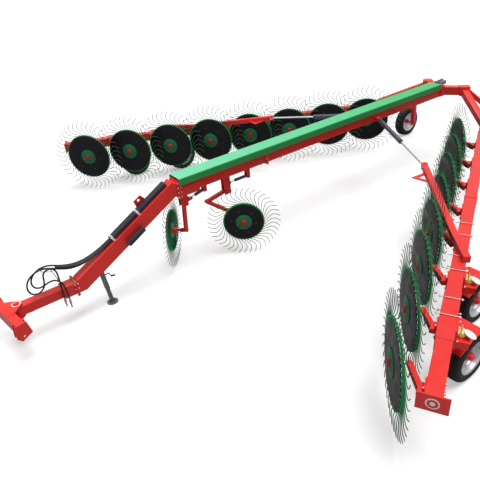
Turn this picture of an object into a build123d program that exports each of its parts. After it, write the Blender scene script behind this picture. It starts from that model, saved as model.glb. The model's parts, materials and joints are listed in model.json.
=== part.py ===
from build123d import *
import math
import os

# Towed V wheel rake, standing on its six ground wheels and its jack.
# +X points to the rear, +Y to the right of the machine, +Z up, in millimetres.
# The origin is on the ground, on the middle plane, halfway along the machine.

# Wings: each is a beam with eight rake wheels, turned out from the middle line
WHEELS_PER_WING = 8
WING_ANGLE = 28.0
WHEEL_PITCH = 820.0
REAR_HUB_X = 3027.0
REAR_HUB_Y = 1050.0
BEAM_OFFSET = 400.0
WING_BEAM_TOP = 960.0
WING_BEAM_SIZE = 150.0
WING_SLEEVE_SIZE = 166.0
WING_BEAM_OUT = 6200.0
WING_PIVOT_BACK = 300.0
PIVOT_PIN_R = 28.0
PIVOT_BOSS_R = 75.0
PIVOT_BOSS_H = 190.0
RUN_CLEARANCE = 0.5
SIDE_CLEARANCE = 6.0

# Rake wheels
RAKE_YAW = 48.0
RAKE_HUB_Z = 758.0
RAKE_TIP_R = 700.0
RAKE_DISC_R = 430.0
RAKE_DISC_T = 14.0
KICK_TIP_R = 560.0
KICK_DISC_R = 300.0
TINES = 40
TINE_D = 9.0
ELBOW_TURN = 20.0
TIP_TURN = 14.0
DISC_SIDES = 20
GREEN_SHARE = 0.36
HUB_R = 45.0
HUB_LEN = 110.0
AXLE_R = 18.0

# Rake arms: each trails from its bracket on the wing beam to its wheel
ARM_LEAD = 330.0
ARM_SIZE = 55.0
ARM_END_BACK = 150.0
SPRING_R = 24.0
SADDLE_W = 150.0
SADDLE_H = 170.0
SADDLE_T = 12.0

# Ground wheels
TYRE_R = 310.0
TYRE_W = 190.0
RIM_R = 185.0
RIM_W = 150.0
TYRE_SIDES = 28

# Main beam, its cover and the drawbar
BEAM_FRONT_X = -2103.0
BEAM_REAR_X = 3797.0
JOINT_X = -553.0
BEAM_TOP = 1450.0
BEAM_H = 200.0
BEAM_W = 190.0
COVER_TOP = 1505.0
COVER_DEPTH = 100.0
COVER_W = 270.0
COVER_T = 6.0
COVER_CHAMFER = 12.0
RIB_X = (-1803.0, -353.0, 1047.0, 2547.0, 3497.0)
SLOPE_TOP_X = -2153.0
SLOPE_TOP_Z = 1370.0
SLOPE_LOW_X = -3723.0
SLOPE_LOW_Z = 510.0
SLOPE_H = 205.0
SLOPE_W = 165.0
TUBE_Z = 500.0
TUBE_SIZE = 130.0
SLEEVE_LEN = 170.0
SLEEVE_SIZE = 165.0
FLANGE_T = 16.0
FLANGE_W = 240.0
FLANGE_H = 270.0
TUBE_PLATE_W = 230.0
TUBE_PLATE_H = 210.0
WEB_LEN = 330.0
WEB_DROP = 35.0

# Hitch crosshead, on an upright pin at the front of the lower tube
HITCH_PIN_X = -4543.0
HITCH_YAW = 9.0
CROSS_FORE = 140.0
CROSS_HALF = 430.0
CROSS_SIZE = 110.0
HITCH_PIN_R = 25.0
LINK_PIN_R = 14.0
LINK_PIN_DROP = 95.0

# Rear yoke, rear legs and the hangers of the wings
YOKE_X = 4107.0
YOKE_Y = 400.0
YOKE_Z = 1355.0
YOKE_SIZE = 150.0
SHOULDER_YAW = 45.0
SHOULDER_LEN = 170.0
SHOULDER_W = 150.0
PLATE_T = 14.0
REAR_WHEEL_X = 4527.0
REAR_WHEEL_Y = 1150.0
KNEE_Z = 860.0
LEG_SIZE = 80.0
LEG_INSET = 190.0

# Centre kicker wheels under the main beam
KICKERS = (
    # name, hub x, hub y, yaw, hinge x, hinge z, anchor x, anchor z
    ("rear", -1233.0, -330.0, -36.0, -1273.0, 1010.0, -863.0, 1110.0),
    ("front", -2168.0, 250.0, 48.0, -2018.0, 1080.0, -1653.0, 1160.0),
)
KICK_HUB_Z = 568.0
KICK_CYL_R = 24.0
KICK_PIN_R = 9.0
KICK_ROD_R = 10.0
KICK_RING_HOLE_R = 14.0
KICK_HINGE_R = 16.0


def unit(angle):
    return Vector(math.cos(math.radians(angle)), math.sin(math.radians(angle)), 0)


def frame_at(start, end, up=Vector(0, 0, 1)):
    """A plane at start whose normal runs to end and whose local y is nearest to up."""
    z = (end - start).normalized()
    x = up.cross(z).normalized()
    return Plane(origin=start, x_dir=x, z_dir=z)


def bar(start, end, width, height, up=Vector(0, 0, 1)):
    """A rectangular bar from start to end, width across and height along up."""
    return extrude(frame_at(start, end, up) * Rectangle(width, height), (end - start).length)


def rod(start, end, radius):
    """A round bar from start to end."""
    up = Vector(0, 0, 1) if abs((end - start).normalized().Z) < 0.9 else Vector(1, 0, 0)
    return extrude(frame_at(start, end, up) * Circle(radius), (end - start).length)


def disc(start, axis, radius, length):
    """A round of that length from start along a unit axis."""
    return extrude(Plane(origin=start, z_dir=axis) * Circle(radius), length)


def turned(stations, sides):
    """A faceted turned body about local Z through (height, radius) stations."""
    sections = [Plane.XY.offset(h) * RegularPolygon(r, sides) for h, r in stations]
    return loft(sections, ruled=True)


def fuse(pieces):
    """One solid of pieces that meet."""
    whole = pieces[0]
    for piece in pieces[1:]:
        whole = whole + piece
    return whole


def mirror_y(shape):
    return mirror(shape, about=Plane.XZ)


def save(shape, name):
    shape.label = name
    export_step(shape, f"parts/{name}.step")


def tine(root_r, tip_r):
    """A bent wire tine: it leans back to its elbow and hooks forward to its tip."""
    half = TINE_D * 0.6
    elbow_r = root_r + 0.55 * (tip_r - root_r)
    root = root_r * unit(0.0)
    elbow = elbow_r * unit(ELBOW_TURN)
    tip = tip_r * unit(TIP_TURN)
    path = Polyline(root, elbow, tip)
    plane = Plane(origin=root, x_dir=Vector(0, 0, 1), z_dir=(elbow - root))
    return sweep(plane * RegularPolygon(half, 3), path=path, transition=Transition.RIGHT)


def rake_wheel(tip_r, disc_r):
    """A rake wheel about local Z, its wind guard towards +Z."""
    guard = turned([(0, disc_r), (RAKE_DISC_T, disc_r)], DISC_SIDES)
    centre_r = disc_r * GREEN_SHARE
    centre = turned([(RAKE_DISC_T, centre_r), (RAKE_DISC_T + 14, centre_r * 0.72)], DISC_SIDES)
    hub = turned([(RAKE_DISC_T - HUB_LEN, HUB_R), (RAKE_DISC_T + 40, HUB_R)], 10)
    bore = extrude(Plane.XY.offset(-HUB_LEN) * Circle(AXLE_R + RUN_CLEARANCE), HUB_LEN - 10)
    wheel = guard + centre + hub - bore
    one = Pos(0, 0, RAKE_DISC_T / 2) * tine(disc_r - 12, tip_r)
    return fuse([wheel] + [Rot(0, 0, k * 360 / TINES) * one for k in range(TINES)])


def ground_wheel():
    """A wheel about local Z: a tyre on a dished rim with its hub."""
    half = TYRE_W / 2
    shoulder = 0.93 * TYRE_R
    bead = RIM_R + 12
    outer = [(-half * 0.86, bead), (-half, TYRE_R - 60), (-half * 0.78, shoulder),
             (-half * 0.6, TYRE_R), (half * 0.6, TYRE_R), (half * 0.78, shoulder),
             (half, TYRE_R - 60), (half * 0.86, bead)]
    tyre = turned(outer, TYRE_SIDES)
    recess = RIM_W / 2 - 18
    well = turned([(18, RIM_R - 40), (half + 1, RIM_R)], TYRE_SIDES)
    back = turned([(-half - 1, RIM_R), (-18, RIM_R - 30)], TYRE_SIDES)
    hub = turned([(-recess, 42), (half * 0.9, 42)], 10)
    bore = extrude(Plane.XY.offset(-recess - 1) * Circle(AXLE_R + RUN_CLEARANCE), recess + 40)
    return tyre - well - back + hub - bore


os.makedirs("parts", exist_ok=True)

# Wing geometry, worked out once for the right wing (y > 0) and mirrored for the left
out_dir = Vector(-math.cos(math.radians(WING_ANGLE)), math.sin(math.radians(WING_ANGLE)), 0)
side_dir = Vector(math.sin(math.radians(WING_ANGLE)), math.cos(math.radians(WING_ANGLE)), 0)
wing_beam_z = WING_BEAM_TOP - WING_BEAM_SIZE / 2
beam_base = Vector(REAR_HUB_X, REAR_HUB_Y, wing_beam_z) + BEAM_OFFSET * side_dir
wing_pivot = beam_base - WING_PIVOT_BACK * out_dir
wheel_dir = unit(-RAKE_YAW)
axle_back = Vector(math.sin(math.radians(RAKE_YAW)), math.cos(math.radians(RAKE_YAW)), 0)


def hub_at(i):
    return Vector(REAR_HUB_X, REAR_HUB_Y, RAKE_HUB_Z) + i * WHEEL_PITCH * out_dir


def beam_at(t, z=wing_beam_z):
    p = beam_base + t * out_dir
    return Vector(p.X, p.Y, z)


# Ground wheels of the wings, along the beam and out from it
CARRIERS = (
    # name, wheel's place along the beam, box's place along the beam
    ("rear", 3915.0, 4360.0),
    ("front", 4900.0, 5250.0),
)
CARRIER_OUT = 225.0
CARRIER_GAP = 35.0
CARRIER_LEG = 60.0
LEG_TRAIL = 200.0
FENDER_T = 8.0

# Wing lever, with the eye of the cylinder's rod, between the fourth and fifth rake wheels
LEVER_EYE = Vector(1077.0, 1760.0, 1150.0)
LEVER_LEN = 2280.0
LEVER_FLAT = 620.0
LEVER_SIZE = 80.0
LEVER_SETBACK = 70.0
SEAT = 0.3
LUG_T = 12.0
PLATE_SLOT = 0.45
EYE_PIN_R = 14.0
EYE_RING_R = 50.0
EYE_HOLE_R = 34.0
EYE_ARM_W = 70.0
PIN_OUT = 8.0
EYE_T = 24.0
LUG_GAP = 26.0

# Wing cylinders
CYL_X = 1947.0
CYL_OUT = 70.0
CYL_Z = 1300.0
CYL_R = 38.0
CYL_END_R = 34.0
CYL_ROD_R = 15.0
CYL_BARREL = 960.0
CYL_EAR_GAP = 3.0
WING_FOLD = 16.0

SLEEVE_T = (4730.0, 5490.0)
COLLAR_T = (-90.0, 2490.0)

# The pins of a wing cylinder stand square to the plane in which its eye swings as the wing folds
ram_base = Vector(CYL_X, BEAM_W / 2 + CYL_OUT, CYL_Z)
folded_eye = wing_pivot + (LEVER_EYE - wing_pivot).rotate(Axis.Z, WING_FOLD)
ram_cross = (LEVER_EYE - ram_base).cross(folded_eye - ram_base).normalized()


def wing_beam():
    boss = Pos(wing_pivot.X, wing_pivot.Y, wing_beam_z - PIVOT_BOSS_H / 2) * extrude(
        Circle(PIVOT_BOSS_R) - Circle(PIVOT_PIN_R + RUN_CLEARANCE), PIVOT_BOSS_H)
    start = wing_pivot + (PIVOT_PIN_R + 20) * out_dir
    tube = bar(start, beam_at(WING_BEAM_OUT), WING_BEAM_SIZE, WING_BEAM_SIZE)
    sleeve = bar(beam_at(SLEEVE_T[0]), beam_at(SLEEVE_T[1]), WING_SLEEVE_SIZE, WING_SLEEVE_SIZE)
    collars = [bar(beam_at(t - 35), beam_at(t + 35), WING_SLEEVE_SIZE, WING_SLEEVE_SIZE) for t in COLLAR_T]
    end = bar(beam_at(WING_BEAM_OUT), beam_at(WING_BEAM_OUT + 14), 270, 190)
    return fuse([boss, tube, sleeve, end] + collars)


def rake_arm(i):
    face = WING_BEAM_SIZE / 2
    t = i * WHEEL_PITCH + ARM_LEAD
    if SLEEVE_T[0] - 80 < t < SLEEVE_T[1] + 80:
        face = WING_SLEEVE_SIZE / 2
    base = beam_at(t, wing_beam_z - 20) - (face + SEAT + SADDLE_T + ARM_SIZE / 2) * side_dir
    hub = hub_at(i)
    end = hub + ARM_END_BACK * axle_back
    arm = bar(base, end, ARM_SIZE, ARM_SIZE)
    axle = rod(end + 10 * axle_back, hub + (RAKE_DISC_T + 2) * axle_back, AXLE_R)
    seat = base + ARM_SIZE / 2 * side_dir
    saddle = bar(seat, seat + SADDLE_T * side_dir, SADDLE_W, SADDLE_H)
    boss = bar(base - 60 * out_dir, base + 60 * out_dir, ARM_SIZE, ARM_SIZE)
    low = base + Vector(0, 0, -60) + (ARM_SIZE / 2 - SPRING_R) * side_dir
    spring = rod(low, base + 0.72 * (end - base), SPRING_R)
    return arm + axle + saddle + boss + spring


def carrier(wheel_t, box_t):
    """The bracket of one wing ground wheel, with its trailing leg, axle and fender."""
    face = WING_BEAM_SIZE / 2 + SEAT
    if SLEEVE_T[0] < box_t < SLEEVE_T[1]:
        face = WING_SLEEVE_SIZE / 2 + SEAT
    c = beam_at(wheel_t) + CARRIER_OUT * side_dir
    hub = Vector(c.X, c.Y, TYRE_R)
    leg_y = hub.Y - TYRE_W / 2 - CARRIER_GAP
    low = Vector(hub.X, leg_y, TYRE_R)
    under = wing_beam_z - face
    top = Vector(hub.X - LEG_TRAIL, leg_y, under - 40)
    leg = bar(low, top, CARRIER_LEG, CARRIER_LEG + 20)
    leg = leg + rod(low - Vector(0, 30, 0), low + Vector(0, 30, 0), 52)
    axle = rod(low, Vector(hub.X, hub.Y - 45, TYRE_R), AXLE_R)
    saddle = bar(beam_at(wheel_t + 120, under - 35), beam_at(box_t + 80, under - 35), 140, 70)
    side = beam_at(box_t - 110) + (face + 10) * side_dir
    cheek = bar(side, side + 220 * out_dir, 20, WING_SLEEVE_SIZE)
    cheek = cheek + bar(side - Vector(0, 0, 95), side - Vector(0, 0, 95) + 220 * out_dir, 20, 80)
    box_start = beam_at(box_t, under - 20) + (face + 5) * side_dir
    box = bar(box_start, box_start + 130 * side_dir, 150, 80)
    y_mid = (leg_y - 30 + hub.Y + TYRE_W / 2 + 15) / 2
    y_len = hub.Y + TYRE_W / 2 + 15 - leg_y + 30
    crest = Vector(hub.X - 130, y_mid, 2 * TYRE_R + 55)
    guard = bar(Vector(hub.X + 60, y_mid, 2 * TYRE_R + 55), crest, y_len, FENDER_T)
    guard = guard + bar(crest, Vector(hub.X - 330, y_mid, 2 * TYRE_R - 60), y_len, FENDER_T)
    tie_end = Vector(crest.X - 30, hub.Y, crest.Z - 10)
    tie = bar(box_start + 60 * side_dir, tie_end, 60, 12)
    return fuse([leg, axle, saddle, cheek, box, guard, tie])


def wing_lever():
    direction = -wheel_dir
    eye = LEVER_EYE
    flat_z = WING_BEAM_TOP + SEAT + LEVER_SIZE / 2
    knee = eye + (LEVER_LEN - LEVER_FLAT) * direction
    knee = Vector(knee.X, knee.Y, flat_z)
    tail = knee + (LEVER_FLAT - 40) * direction
    in_plane = (direction - direction.dot(ram_cross) * ram_cross).normalized()
    start = eye + LEVER_SETBACK * in_plane
    neck = bar(start, knee, LEVER_SIZE, LEVER_SIZE)
    foot = bar(knee - 40 * direction, tail, LEVER_SIZE, LEVER_SIZE)
    lugs = []
    for z in (LUG_GAP, -LUG_GAP - LUG_T):
        lugs.append(disc(eye + z * ram_cross, ram_cross, EYE_RING_R, LUG_T))
        level = eye + (z + LUG_T / 2) * ram_cross
        lugs.append(bar(level, level + (LEVER_SETBACK + 60) * in_plane, EYE_ARM_W, LUG_T, ram_cross))
    reach = LUG_GAP + LUG_T + PIN_OUT
    pin = disc(eye - reach * ram_cross, ram_cross, EYE_PIN_R, 2 * reach)
    a = eye + 120 * direction
    b = eye + 500 * direction
    c = eye + 290 * direction - 235 * axle_back
    z = eye.Z - 50
    middle = (a + b + c) * (1 / 3)
    hole = [middle + PLATE_SLOT * (p - middle) for p in (a, b, c)]
    outline = make_face(Polyline((a.X, a.Y), (b.X, b.Y), (c.X, c.Y), (a.X, a.Y)))
    slot = make_face(Polyline([(p.X, p.Y) for p in hole + hole[:1]]))
    plate = extrude(Pos(0, 0, z) * (outline - slot), LUG_T)
    return fuse([neck, foot] + lugs + [pin, plate])


def cylinder(base, eye, barrel_r, rod_r, barrel_len, pin_r, end_r, end_w, ring_r, hole_r, width, cross):
    """Barrel and rod of a ram between two pins that run along cross."""
    axis = (eye - base).normalized()
    length = (eye - base).length
    gland = base + barrel_len * axis
    barrel = rod(base + (end_r + 12) * axis, gland, barrel_r)
    end = disc(base - end_w / 2 * cross, cross, end_r, end_w)
    neck = bar(base, base + (end_r + 20) * axis, 1.3 * end_r, end_w, cross)
    hole = disc(base - end_w * cross, cross, pin_r + RUN_CLEARANCE, 2 * end_w)
    bore = rod(base + (end_r + 40) * axis, gland + 2 * axis, rod_r + RUN_CLEARANCE)
    barrel = barrel + end + neck - hole - bore
    ring = disc(eye - width / 2 * cross, cross, ring_r, width) - disc(eye - width * cross, cross, hole_r, 2 * width)
    shank = rod(gland - 0.35 * barrel_len * axis, eye - (hole_r + 6) * axis, rod_r)
    return barrel, ring + shank


def hanger_plates(x0, x1, z_low, half, t):
    """Two cheek plates below the main beam."""
    plates = []
    for side in (-1, 1):
        y = side * (half + t / 2)
        z_top = BEAM_TOP - BEAM_H - SEAT
        if x0 < BEAM_FRONT_X + WEB_LEN:
            z_top -= WEB_DROP
        plates.append(Pos((x0 + x1) / 2, y, (z_top + z_low) / 2) * Box(x1 - x0, t, z_top - z_low))
    return plates


def kicker(name, hub_x, hub_y, yaw, hinge_x, hinge_z, anchor_x, anchor_z):
    side = -1 if hub_y < 0 else 1
    front = Vector(-math.sin(math.radians(abs(yaw))), side * math.cos(math.radians(yaw)), 0)
    hub = Vector(hub_x, hub_y, KICK_HUB_Z)
    hinge = Vector(hinge_x, 0, hinge_z)
    anchor = Vector(anchor_x, 0, anchor_z)
    back = hub - ARM_END_BACK * front
    if name == "rear":
        knee = Vector(hinge_x - 350, 20, hinge_z - 80)
        eye = hinge + Vector(60, 0, 100)
    else:
        knee = Vector(hinge_x - 30, 0, hinge_z - 450)
        eye = hinge + Vector(120, 0, 25)
    arm = bar(hinge, knee, 50, 50, Vector(0, 1, 0)) + bar(knee, back, 50, 50)
    joint = extrude(Plane(origin=knee - Vector(0, 27, 0), z_dir=(0, 1, 0)) * Circle(30), 54)
    boss = extrude(Plane(origin=hinge - Vector(0, 28, 0), z_dir=(0, 1, 0)) * Circle(38), 56)
    bore = Plane(origin=hinge - Vector(0, 40, 0), z_dir=(0, 1, 0))
    bore = extrude(bore * Circle(KICK_HINGE_R + RUN_CLEARANCE), 80)
    axle = rod(back - 10 * front, hub - (RAKE_DISC_T + 2) * front, AXLE_R)
    lugs = []
    for s in (-1, 1):
        pad = Plane(origin=eye + Vector(0, s * 22 - 5, 0), z_dir=(0, 1, 0)) * Circle(KICK_CYL_R)
        lugs.append(extrude(pad, 10))
        lugs.append(bar(hinge, eye, 44, 10, Vector(0, 1, 0)).moved(Location((0, s * 22, 0))))
    pin = extrude(Plane(origin=eye - Vector(0, 27, 0), z_dir=(0, 1, 0)) * Circle(KICK_PIN_R), 54)
    arm = fuse([arm, joint, boss, axle, pin] + lugs) - bore
    return arm, hub, front, hinge, eye, anchor


def build():
    wheel = rake_wheel(RAKE_TIP_R, RAKE_DISC_R)
    small = rake_wheel(KICK_TIP_R, KICK_DISC_R)

    for i in range(WHEELS_PER_WING):
        hub = hub_at(i)
        place = Plane(origin=hub, x_dir=(0, 0, 1), z_dir=-axle_back)
        piece = place * wheel
        save(piece, f"rake_wheel_right_{i + 1}")
        save(mirror_y(piece), f"rake_wheel_left_{i + 1}")
    arms = [rake_arm(i) for i in range(WHEELS_PER_WING)]
    carriers = []
    ground = ground_wheel()
    wheel_end = Plane(origin=(0, 0, 0), x_dir=(1, 0, 0), z_dir=(0, 1, 0)) * ground
    for name, wheel_t, box_t in CARRIERS:
        carriers.append(carrier(wheel_t, box_t))
        c = beam_at(wheel_t) + CARRIER_OUT * side_dir
        piece = Pos(c.X, c.Y, TYRE_R) * wheel_end
        save(piece, f"wing_wheel_right_{name}")
        save(mirror_y(piece), f"wing_wheel_left_{name}")
    piece = Pos(REAR_WHEEL_X, REAR_WHEEL_Y, TYRE_R) * wheel_end
    save(piece, "rear_wheel_right")
    save(mirror_y(piece), "rear_wheel_left")
    for name, shape in (("wing_beam", wing_beam()), ("rake_arms", Compound(children=arms)),
                        ("wheel_carriers", Compound(children=carriers)), ("wing_lever", wing_lever())):
        save(shape, f"{name}_right")
        save(mirror_y(shape), f"{name}_left")
    barrel, piston = cylinder(ram_base, LEVER_EYE, CYL_R, CYL_ROD_R, CYL_BARREL, EYE_PIN_R, CYL_END_R,
                              EYE_T, EYE_RING_R, EYE_HOLE_R, EYE_T, ram_cross)
    save(barrel, "wing_ram_right")
    save(mirror_y(barrel), "wing_ram_left")
    save(piston, "wing_ram_rod_right")
    save(mirror_y(piston), "wing_ram_rod_left")
    face_y = BEAM_W / 2 + SEAT
    ears = []
    for z in (EYE_T / 2 + CYL_EAR_GAP, -EYE_T / 2 - CYL_EAR_GAP - LUG_T):
        ears.append(disc(ram_base + z * ram_cross, ram_cross, CYL_END_R, LUG_T))
        level = ram_base + (z + LUG_T / 2) * ram_cross
        ears.append(bar(level, Vector(level.X, face_y, level.Z), 2 * CYL_END_R, LUG_T, ram_cross))
    reach = EYE_T / 2 + LUG_T + PIN_OUT
    ears.append(disc(ram_base - reach * ram_cross, ram_cross, EYE_PIN_R, 2 * reach))
    ears.append(Pos(CYL_X, face_y + 5, CYL_Z) * Box(110, 10, 110))
    bracket = fuse(ears)
    brackets = [bracket, mirror_y(bracket)]
    for row in KICKERS:
        arm, hub, front, hinge, eye, anchor = kicker(*row)
        name = row[0]
        save(arm, f"kicker_arm_{name}")
        place = Plane(origin=hub, x_dir=(0, 0, 1), z_dir=front)
        save(place * (small if name == "rear" else mirror_y(small)), f"kicker_wheel_{name}")
        length = 0.68 * (eye - anchor).length
        barrel, piston = cylinder(anchor, eye, KICK_CYL_R, KICK_ROD_R, length, KICK_PIN_R, KICK_CYL_R,
                                  40, KICK_CYL_R, KICK_RING_HOLE_R, 22, Vector(0, 1, 0))
        save(barrel, f"kicker_ram_{name}")
        save(piston, f"kicker_ram_rod_{name}")
        cheeks = hanger_plates(hinge.X - 55, hinge.X + 55, hinge.Z - 55, 34, 12)
        pin = extrude(Plane(origin=hinge - Vector(0, 50, 0), z_dir=(0, 1, 0)) * Circle(KICK_HINGE_R), 100)
        brackets.append(fuse(cheeks + [pin]))
        ears = hanger_plates(anchor.X - 28, anchor.X + 28, anchor.Z - 30, 26, 10)
        pin = extrude(Plane(origin=anchor - Vector(0, 40, 0), z_dir=(0, 1, 0)) * Circle(KICK_PIN_R), 80)
        brackets.append(fuse(ears + [pin]))
    save(Compound(children=brackets), "beam_brackets")


# Jack on the underside of the sloping drawbar
JACK_X = -3373.0
JACK_LEAN = 5.0
JACK_TOP_Z = 640.0
JACK_TUBE = 60.0
JACK_WALL = 4.0
JACK_TUBE_LOW = 250.0
JACK_INNER_GAP = 1.0
JACK_INNER_LEN = 375.0
FOOT_R = 80.0
FOOT_T = 10.0

# Hose guard on the slope, document tube, lifting lug and hose rack
GUARD_START = 0.03
GUARD_END = 0.62
GUARD_W = 105.0
GUARD_H = 58.0
CAN_R = 45.0
CAN_LEN = 300.0
CAN_S = 0.47
LUG_S = 0.26
RACK_R = 5.0
RACK_HALF = 55.0
RACK_FOOT = 150.0
RACK_KNEE_REACH = 225.0
RACK_REACH = 344.0
RACK_TOP = 915.0
RACK_KNEE = 860.0
HOSE_R = 11.0
COUPLING_R = 17.0
COUPLING_LEN = 75.0
TIP_R = 10.0
TIP_LEN = 45.0

# Supply hoses: out of the guard, over the rack, round a loop and down to hang beside the tube
HOSE_LEFT = (
    (-3189.8, -24, 951.6), (-3293, -24, 895), (-3456, -26, 828), (-3630, -30, 780), (-3793, -34, 790),
    (-3933, -36, 850), (-4043, -36, 915), (-4153, -36, 944), (-4263, -38, 915), (-4343, -42, 845),
    (-4371, -50, 750), (-4341, -60, 665), (-4253, -70, 640), (-4178, -78, 700), (-4153, -84, 800),
    (-4148, -88, 890), (-4100, -94, 938), (-4032, -104, 938), (-3987, -114, 890), (-3983, -122, 800),
    (-3989, -124, 680), (-3993, -124, 560), (-3995, -125, 450),
)
HOSE_RIGHT = (
    (-3189.8, 24, 951.6), (-3293, 24, 895), (-3456, 24, 835), (-3619, 22, 800), (-3770, 20, 810),
    (-3910, 16, 865), (-4023, 8, 928), (-4133, 0, 946), (-4233, -4, 905), (-4295, -10, 825),
    (-4295, -16, 735), (-4233, -22, 685), (-4155, -34, 705), (-4093, -78, 755), (-4023, -132, 775),
    (-3963, -156, 705), (-3949, -160, 600), (-3946, -160, 510), (-3945, -160, 430),
)


def slope_at(share, lift=0.0, y=0.0):
    """A point on the slope's centre line, lifted square to it."""
    dx = SLOPE_LOW_X - SLOPE_TOP_X
    dz = SLOPE_LOW_Z - SLOPE_TOP_Z
    run = math.hypot(dx, dz)
    return Vector(SLOPE_TOP_X + share * dx + lift * dz / run, y,
                  SLOPE_TOP_Z + share * dz - lift * dx / run)


def main_beam():
    z = BEAM_TOP - BEAM_H / 2
    tube = bar(Vector(BEAM_FRONT_X + FLANGE_T, 0, z), Vector(BEAM_REAR_X, 0, z), BEAM_W, BEAM_H)
    flange_x = BEAM_FRONT_X + FLANGE_T
    flange = bar(Vector(BEAM_FRONT_X, 0, z - 15), Vector(flange_x, 0, z - 15), FLANGE_W, FLANGE_H)
    doubler = Plane.XZ.offset(-BEAM_W / 2 - 8) * make_face(Polyline(
        (BEAM_FRONT_X + FLANGE_T, BEAM_TOP - BEAM_H - WEB_DROP),
        (BEAM_FRONT_X + WEB_LEN, BEAM_TOP - BEAM_H - WEB_DROP),
        (BEAM_FRONT_X + WEB_LEN, BEAM_TOP - 90), (BEAM_FRONT_X + FLANGE_T, BEAM_TOP - 90),
        (BEAM_FRONT_X + FLANGE_T, BEAM_TOP - BEAM_H - WEB_DROP)))
    web = extrude(doubler, BEAM_W + 16)
    joint_end = JOINT_X + 2 * FLANGE_T
    joint = bar(Vector(JOINT_X, 0, z - 10), Vector(joint_end, 0, z - 10), BEAM_W + 40, BEAM_H + 40)
    return tube + flange + web + joint


def beam_cover():
    half = COVER_W / 2
    low = COVER_TOP - COVER_DEPTH
    edge = COVER_TOP - COVER_CHAMFER
    inner = half - COVER_T
    lid = COVER_TOP - COVER_T
    outer = Polyline((-half, low), (-half, edge), (-half + COVER_CHAMFER, COVER_TOP),
                     (half - COVER_CHAMFER, COVER_TOP), (half, edge), (half, low), (inner, low),
                     (inner, edge - 2), (half - COVER_CHAMFER - 2, lid), (COVER_CHAMFER + 2 - half, lid),
                     (-inner, edge - 2), (-inner, low), (-half, low))
    shell = extrude(Plane(origin=(BEAM_FRONT_X, 0, 0), x_dir=(0, 1, 0), z_dir=(1, 0, 0)) * make_face(outer),
                    BEAM_REAR_X - 20 - BEAM_FRONT_X)
    ribs = []
    for x in RIB_X:
        top = COVER_TOP - COVER_T
        ribs.append(Pos(x, 0, (top + BEAM_TOP + SEAT) / 2) * Box(40, BEAM_W - 40, top - BEAM_TOP - SEAT))
    return fuse([shell] + ribs)


def drawbar():
    top = slope_at(0.0)
    low = slope_at(1.0)
    along = (low - top).normalized()
    slope = bar(top - 30 * along, low, SLOPE_W, SLOPE_H)
    z = BEAM_TOP - BEAM_H / 2
    face_x = BEAM_FRONT_X - SEAT
    flange = bar(Vector(face_x - FLANGE_T, 0, z - 15), Vector(face_x, 0, z - 15), FLANGE_W, FLANGE_H)
    throat = bar(Vector(face_x - 90, 0, z - 10), Vector(face_x, 0, z - 10), SLOPE_W, BEAM_H)
    low_x = SLOPE_LOW_X - 60
    foot = bar(Vector(SLOPE_LOW_X + 60, 0, TUBE_Z), Vector(low_x, 0, TUBE_Z), SLOPE_W, SLEEVE_SIZE)
    plate = bar(Vector(low_x, 0, TUBE_Z), Vector(low_x - FLANGE_T, 0, TUBE_Z), TUBE_PLATE_W, TUBE_PLATE_H)
    clear = bar(Vector(face_x, 0, z), Vector(face_x + 400, 0, z), 400, 700)
    return (slope + throat + foot + flange + plate) - clear


def drawbar_tube():
    x0 = SLOPE_LOW_X - 60 - FLANGE_T - SEAT
    x1 = x0 - FLANGE_T
    plate = bar(Vector(x0, 0, TUBE_Z), Vector(x1, 0, TUBE_Z), TUBE_PLATE_W, TUBE_PLATE_H)
    sleeve = bar(Vector(x1, 0, TUBE_Z), Vector(x1 - SLEEVE_LEN, 0, TUBE_Z), SLEEVE_SIZE, SLEEVE_SIZE)
    pin_x = HITCH_PIN_X
    tube = bar(Vector(x0 - SLEEVE_LEN, 0, TUBE_Z), Vector(pin_x, 0, TUBE_Z), TUBE_SIZE, TUBE_SIZE)
    boss = Pos(pin_x, 0, TUBE_Z - TUBE_SIZE / 2 - 10) * extrude(Circle(TUBE_SIZE / 2), TUBE_SIZE + 20)
    bore = Pos(pin_x, 0, TUBE_Z - TUBE_SIZE) * extrude(Circle(HITCH_PIN_R + RUN_CLEARANCE), 2 * TUBE_SIZE)
    lug = Pos(pin_x + 140, 0, TUBE_Z - TUBE_SIZE / 2 - 20) * Box(50, 14, 44)
    rack = []
    for y in (-RACK_HALF, RACK_HALF):
        low = Vector(x0 - RACK_FOOT, y, TUBE_Z + SLEEVE_SIZE / 2 - 4)
        mid = Vector(x0 - RACK_KNEE_REACH, y, RACK_KNEE)
        end = Vector(x0 - RACK_REACH, y, RACK_TOP)
        rack += [rod(low, mid, RACK_R), rod(mid, end, RACK_R), Pos(mid) * Sphere(RACK_R)]
    bar_y = Vector(x0 - RACK_REACH, 0, RACK_TOP)
    cross = rod(bar_y - Vector(0, RACK_HALF + RACK_R, 0), bar_y + Vector(0, RACK_HALF + RACK_R, 0), RACK_R)
    return fuse([plate, sleeve, tube, boss, lug] + rack + [cross]) - bore


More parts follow.
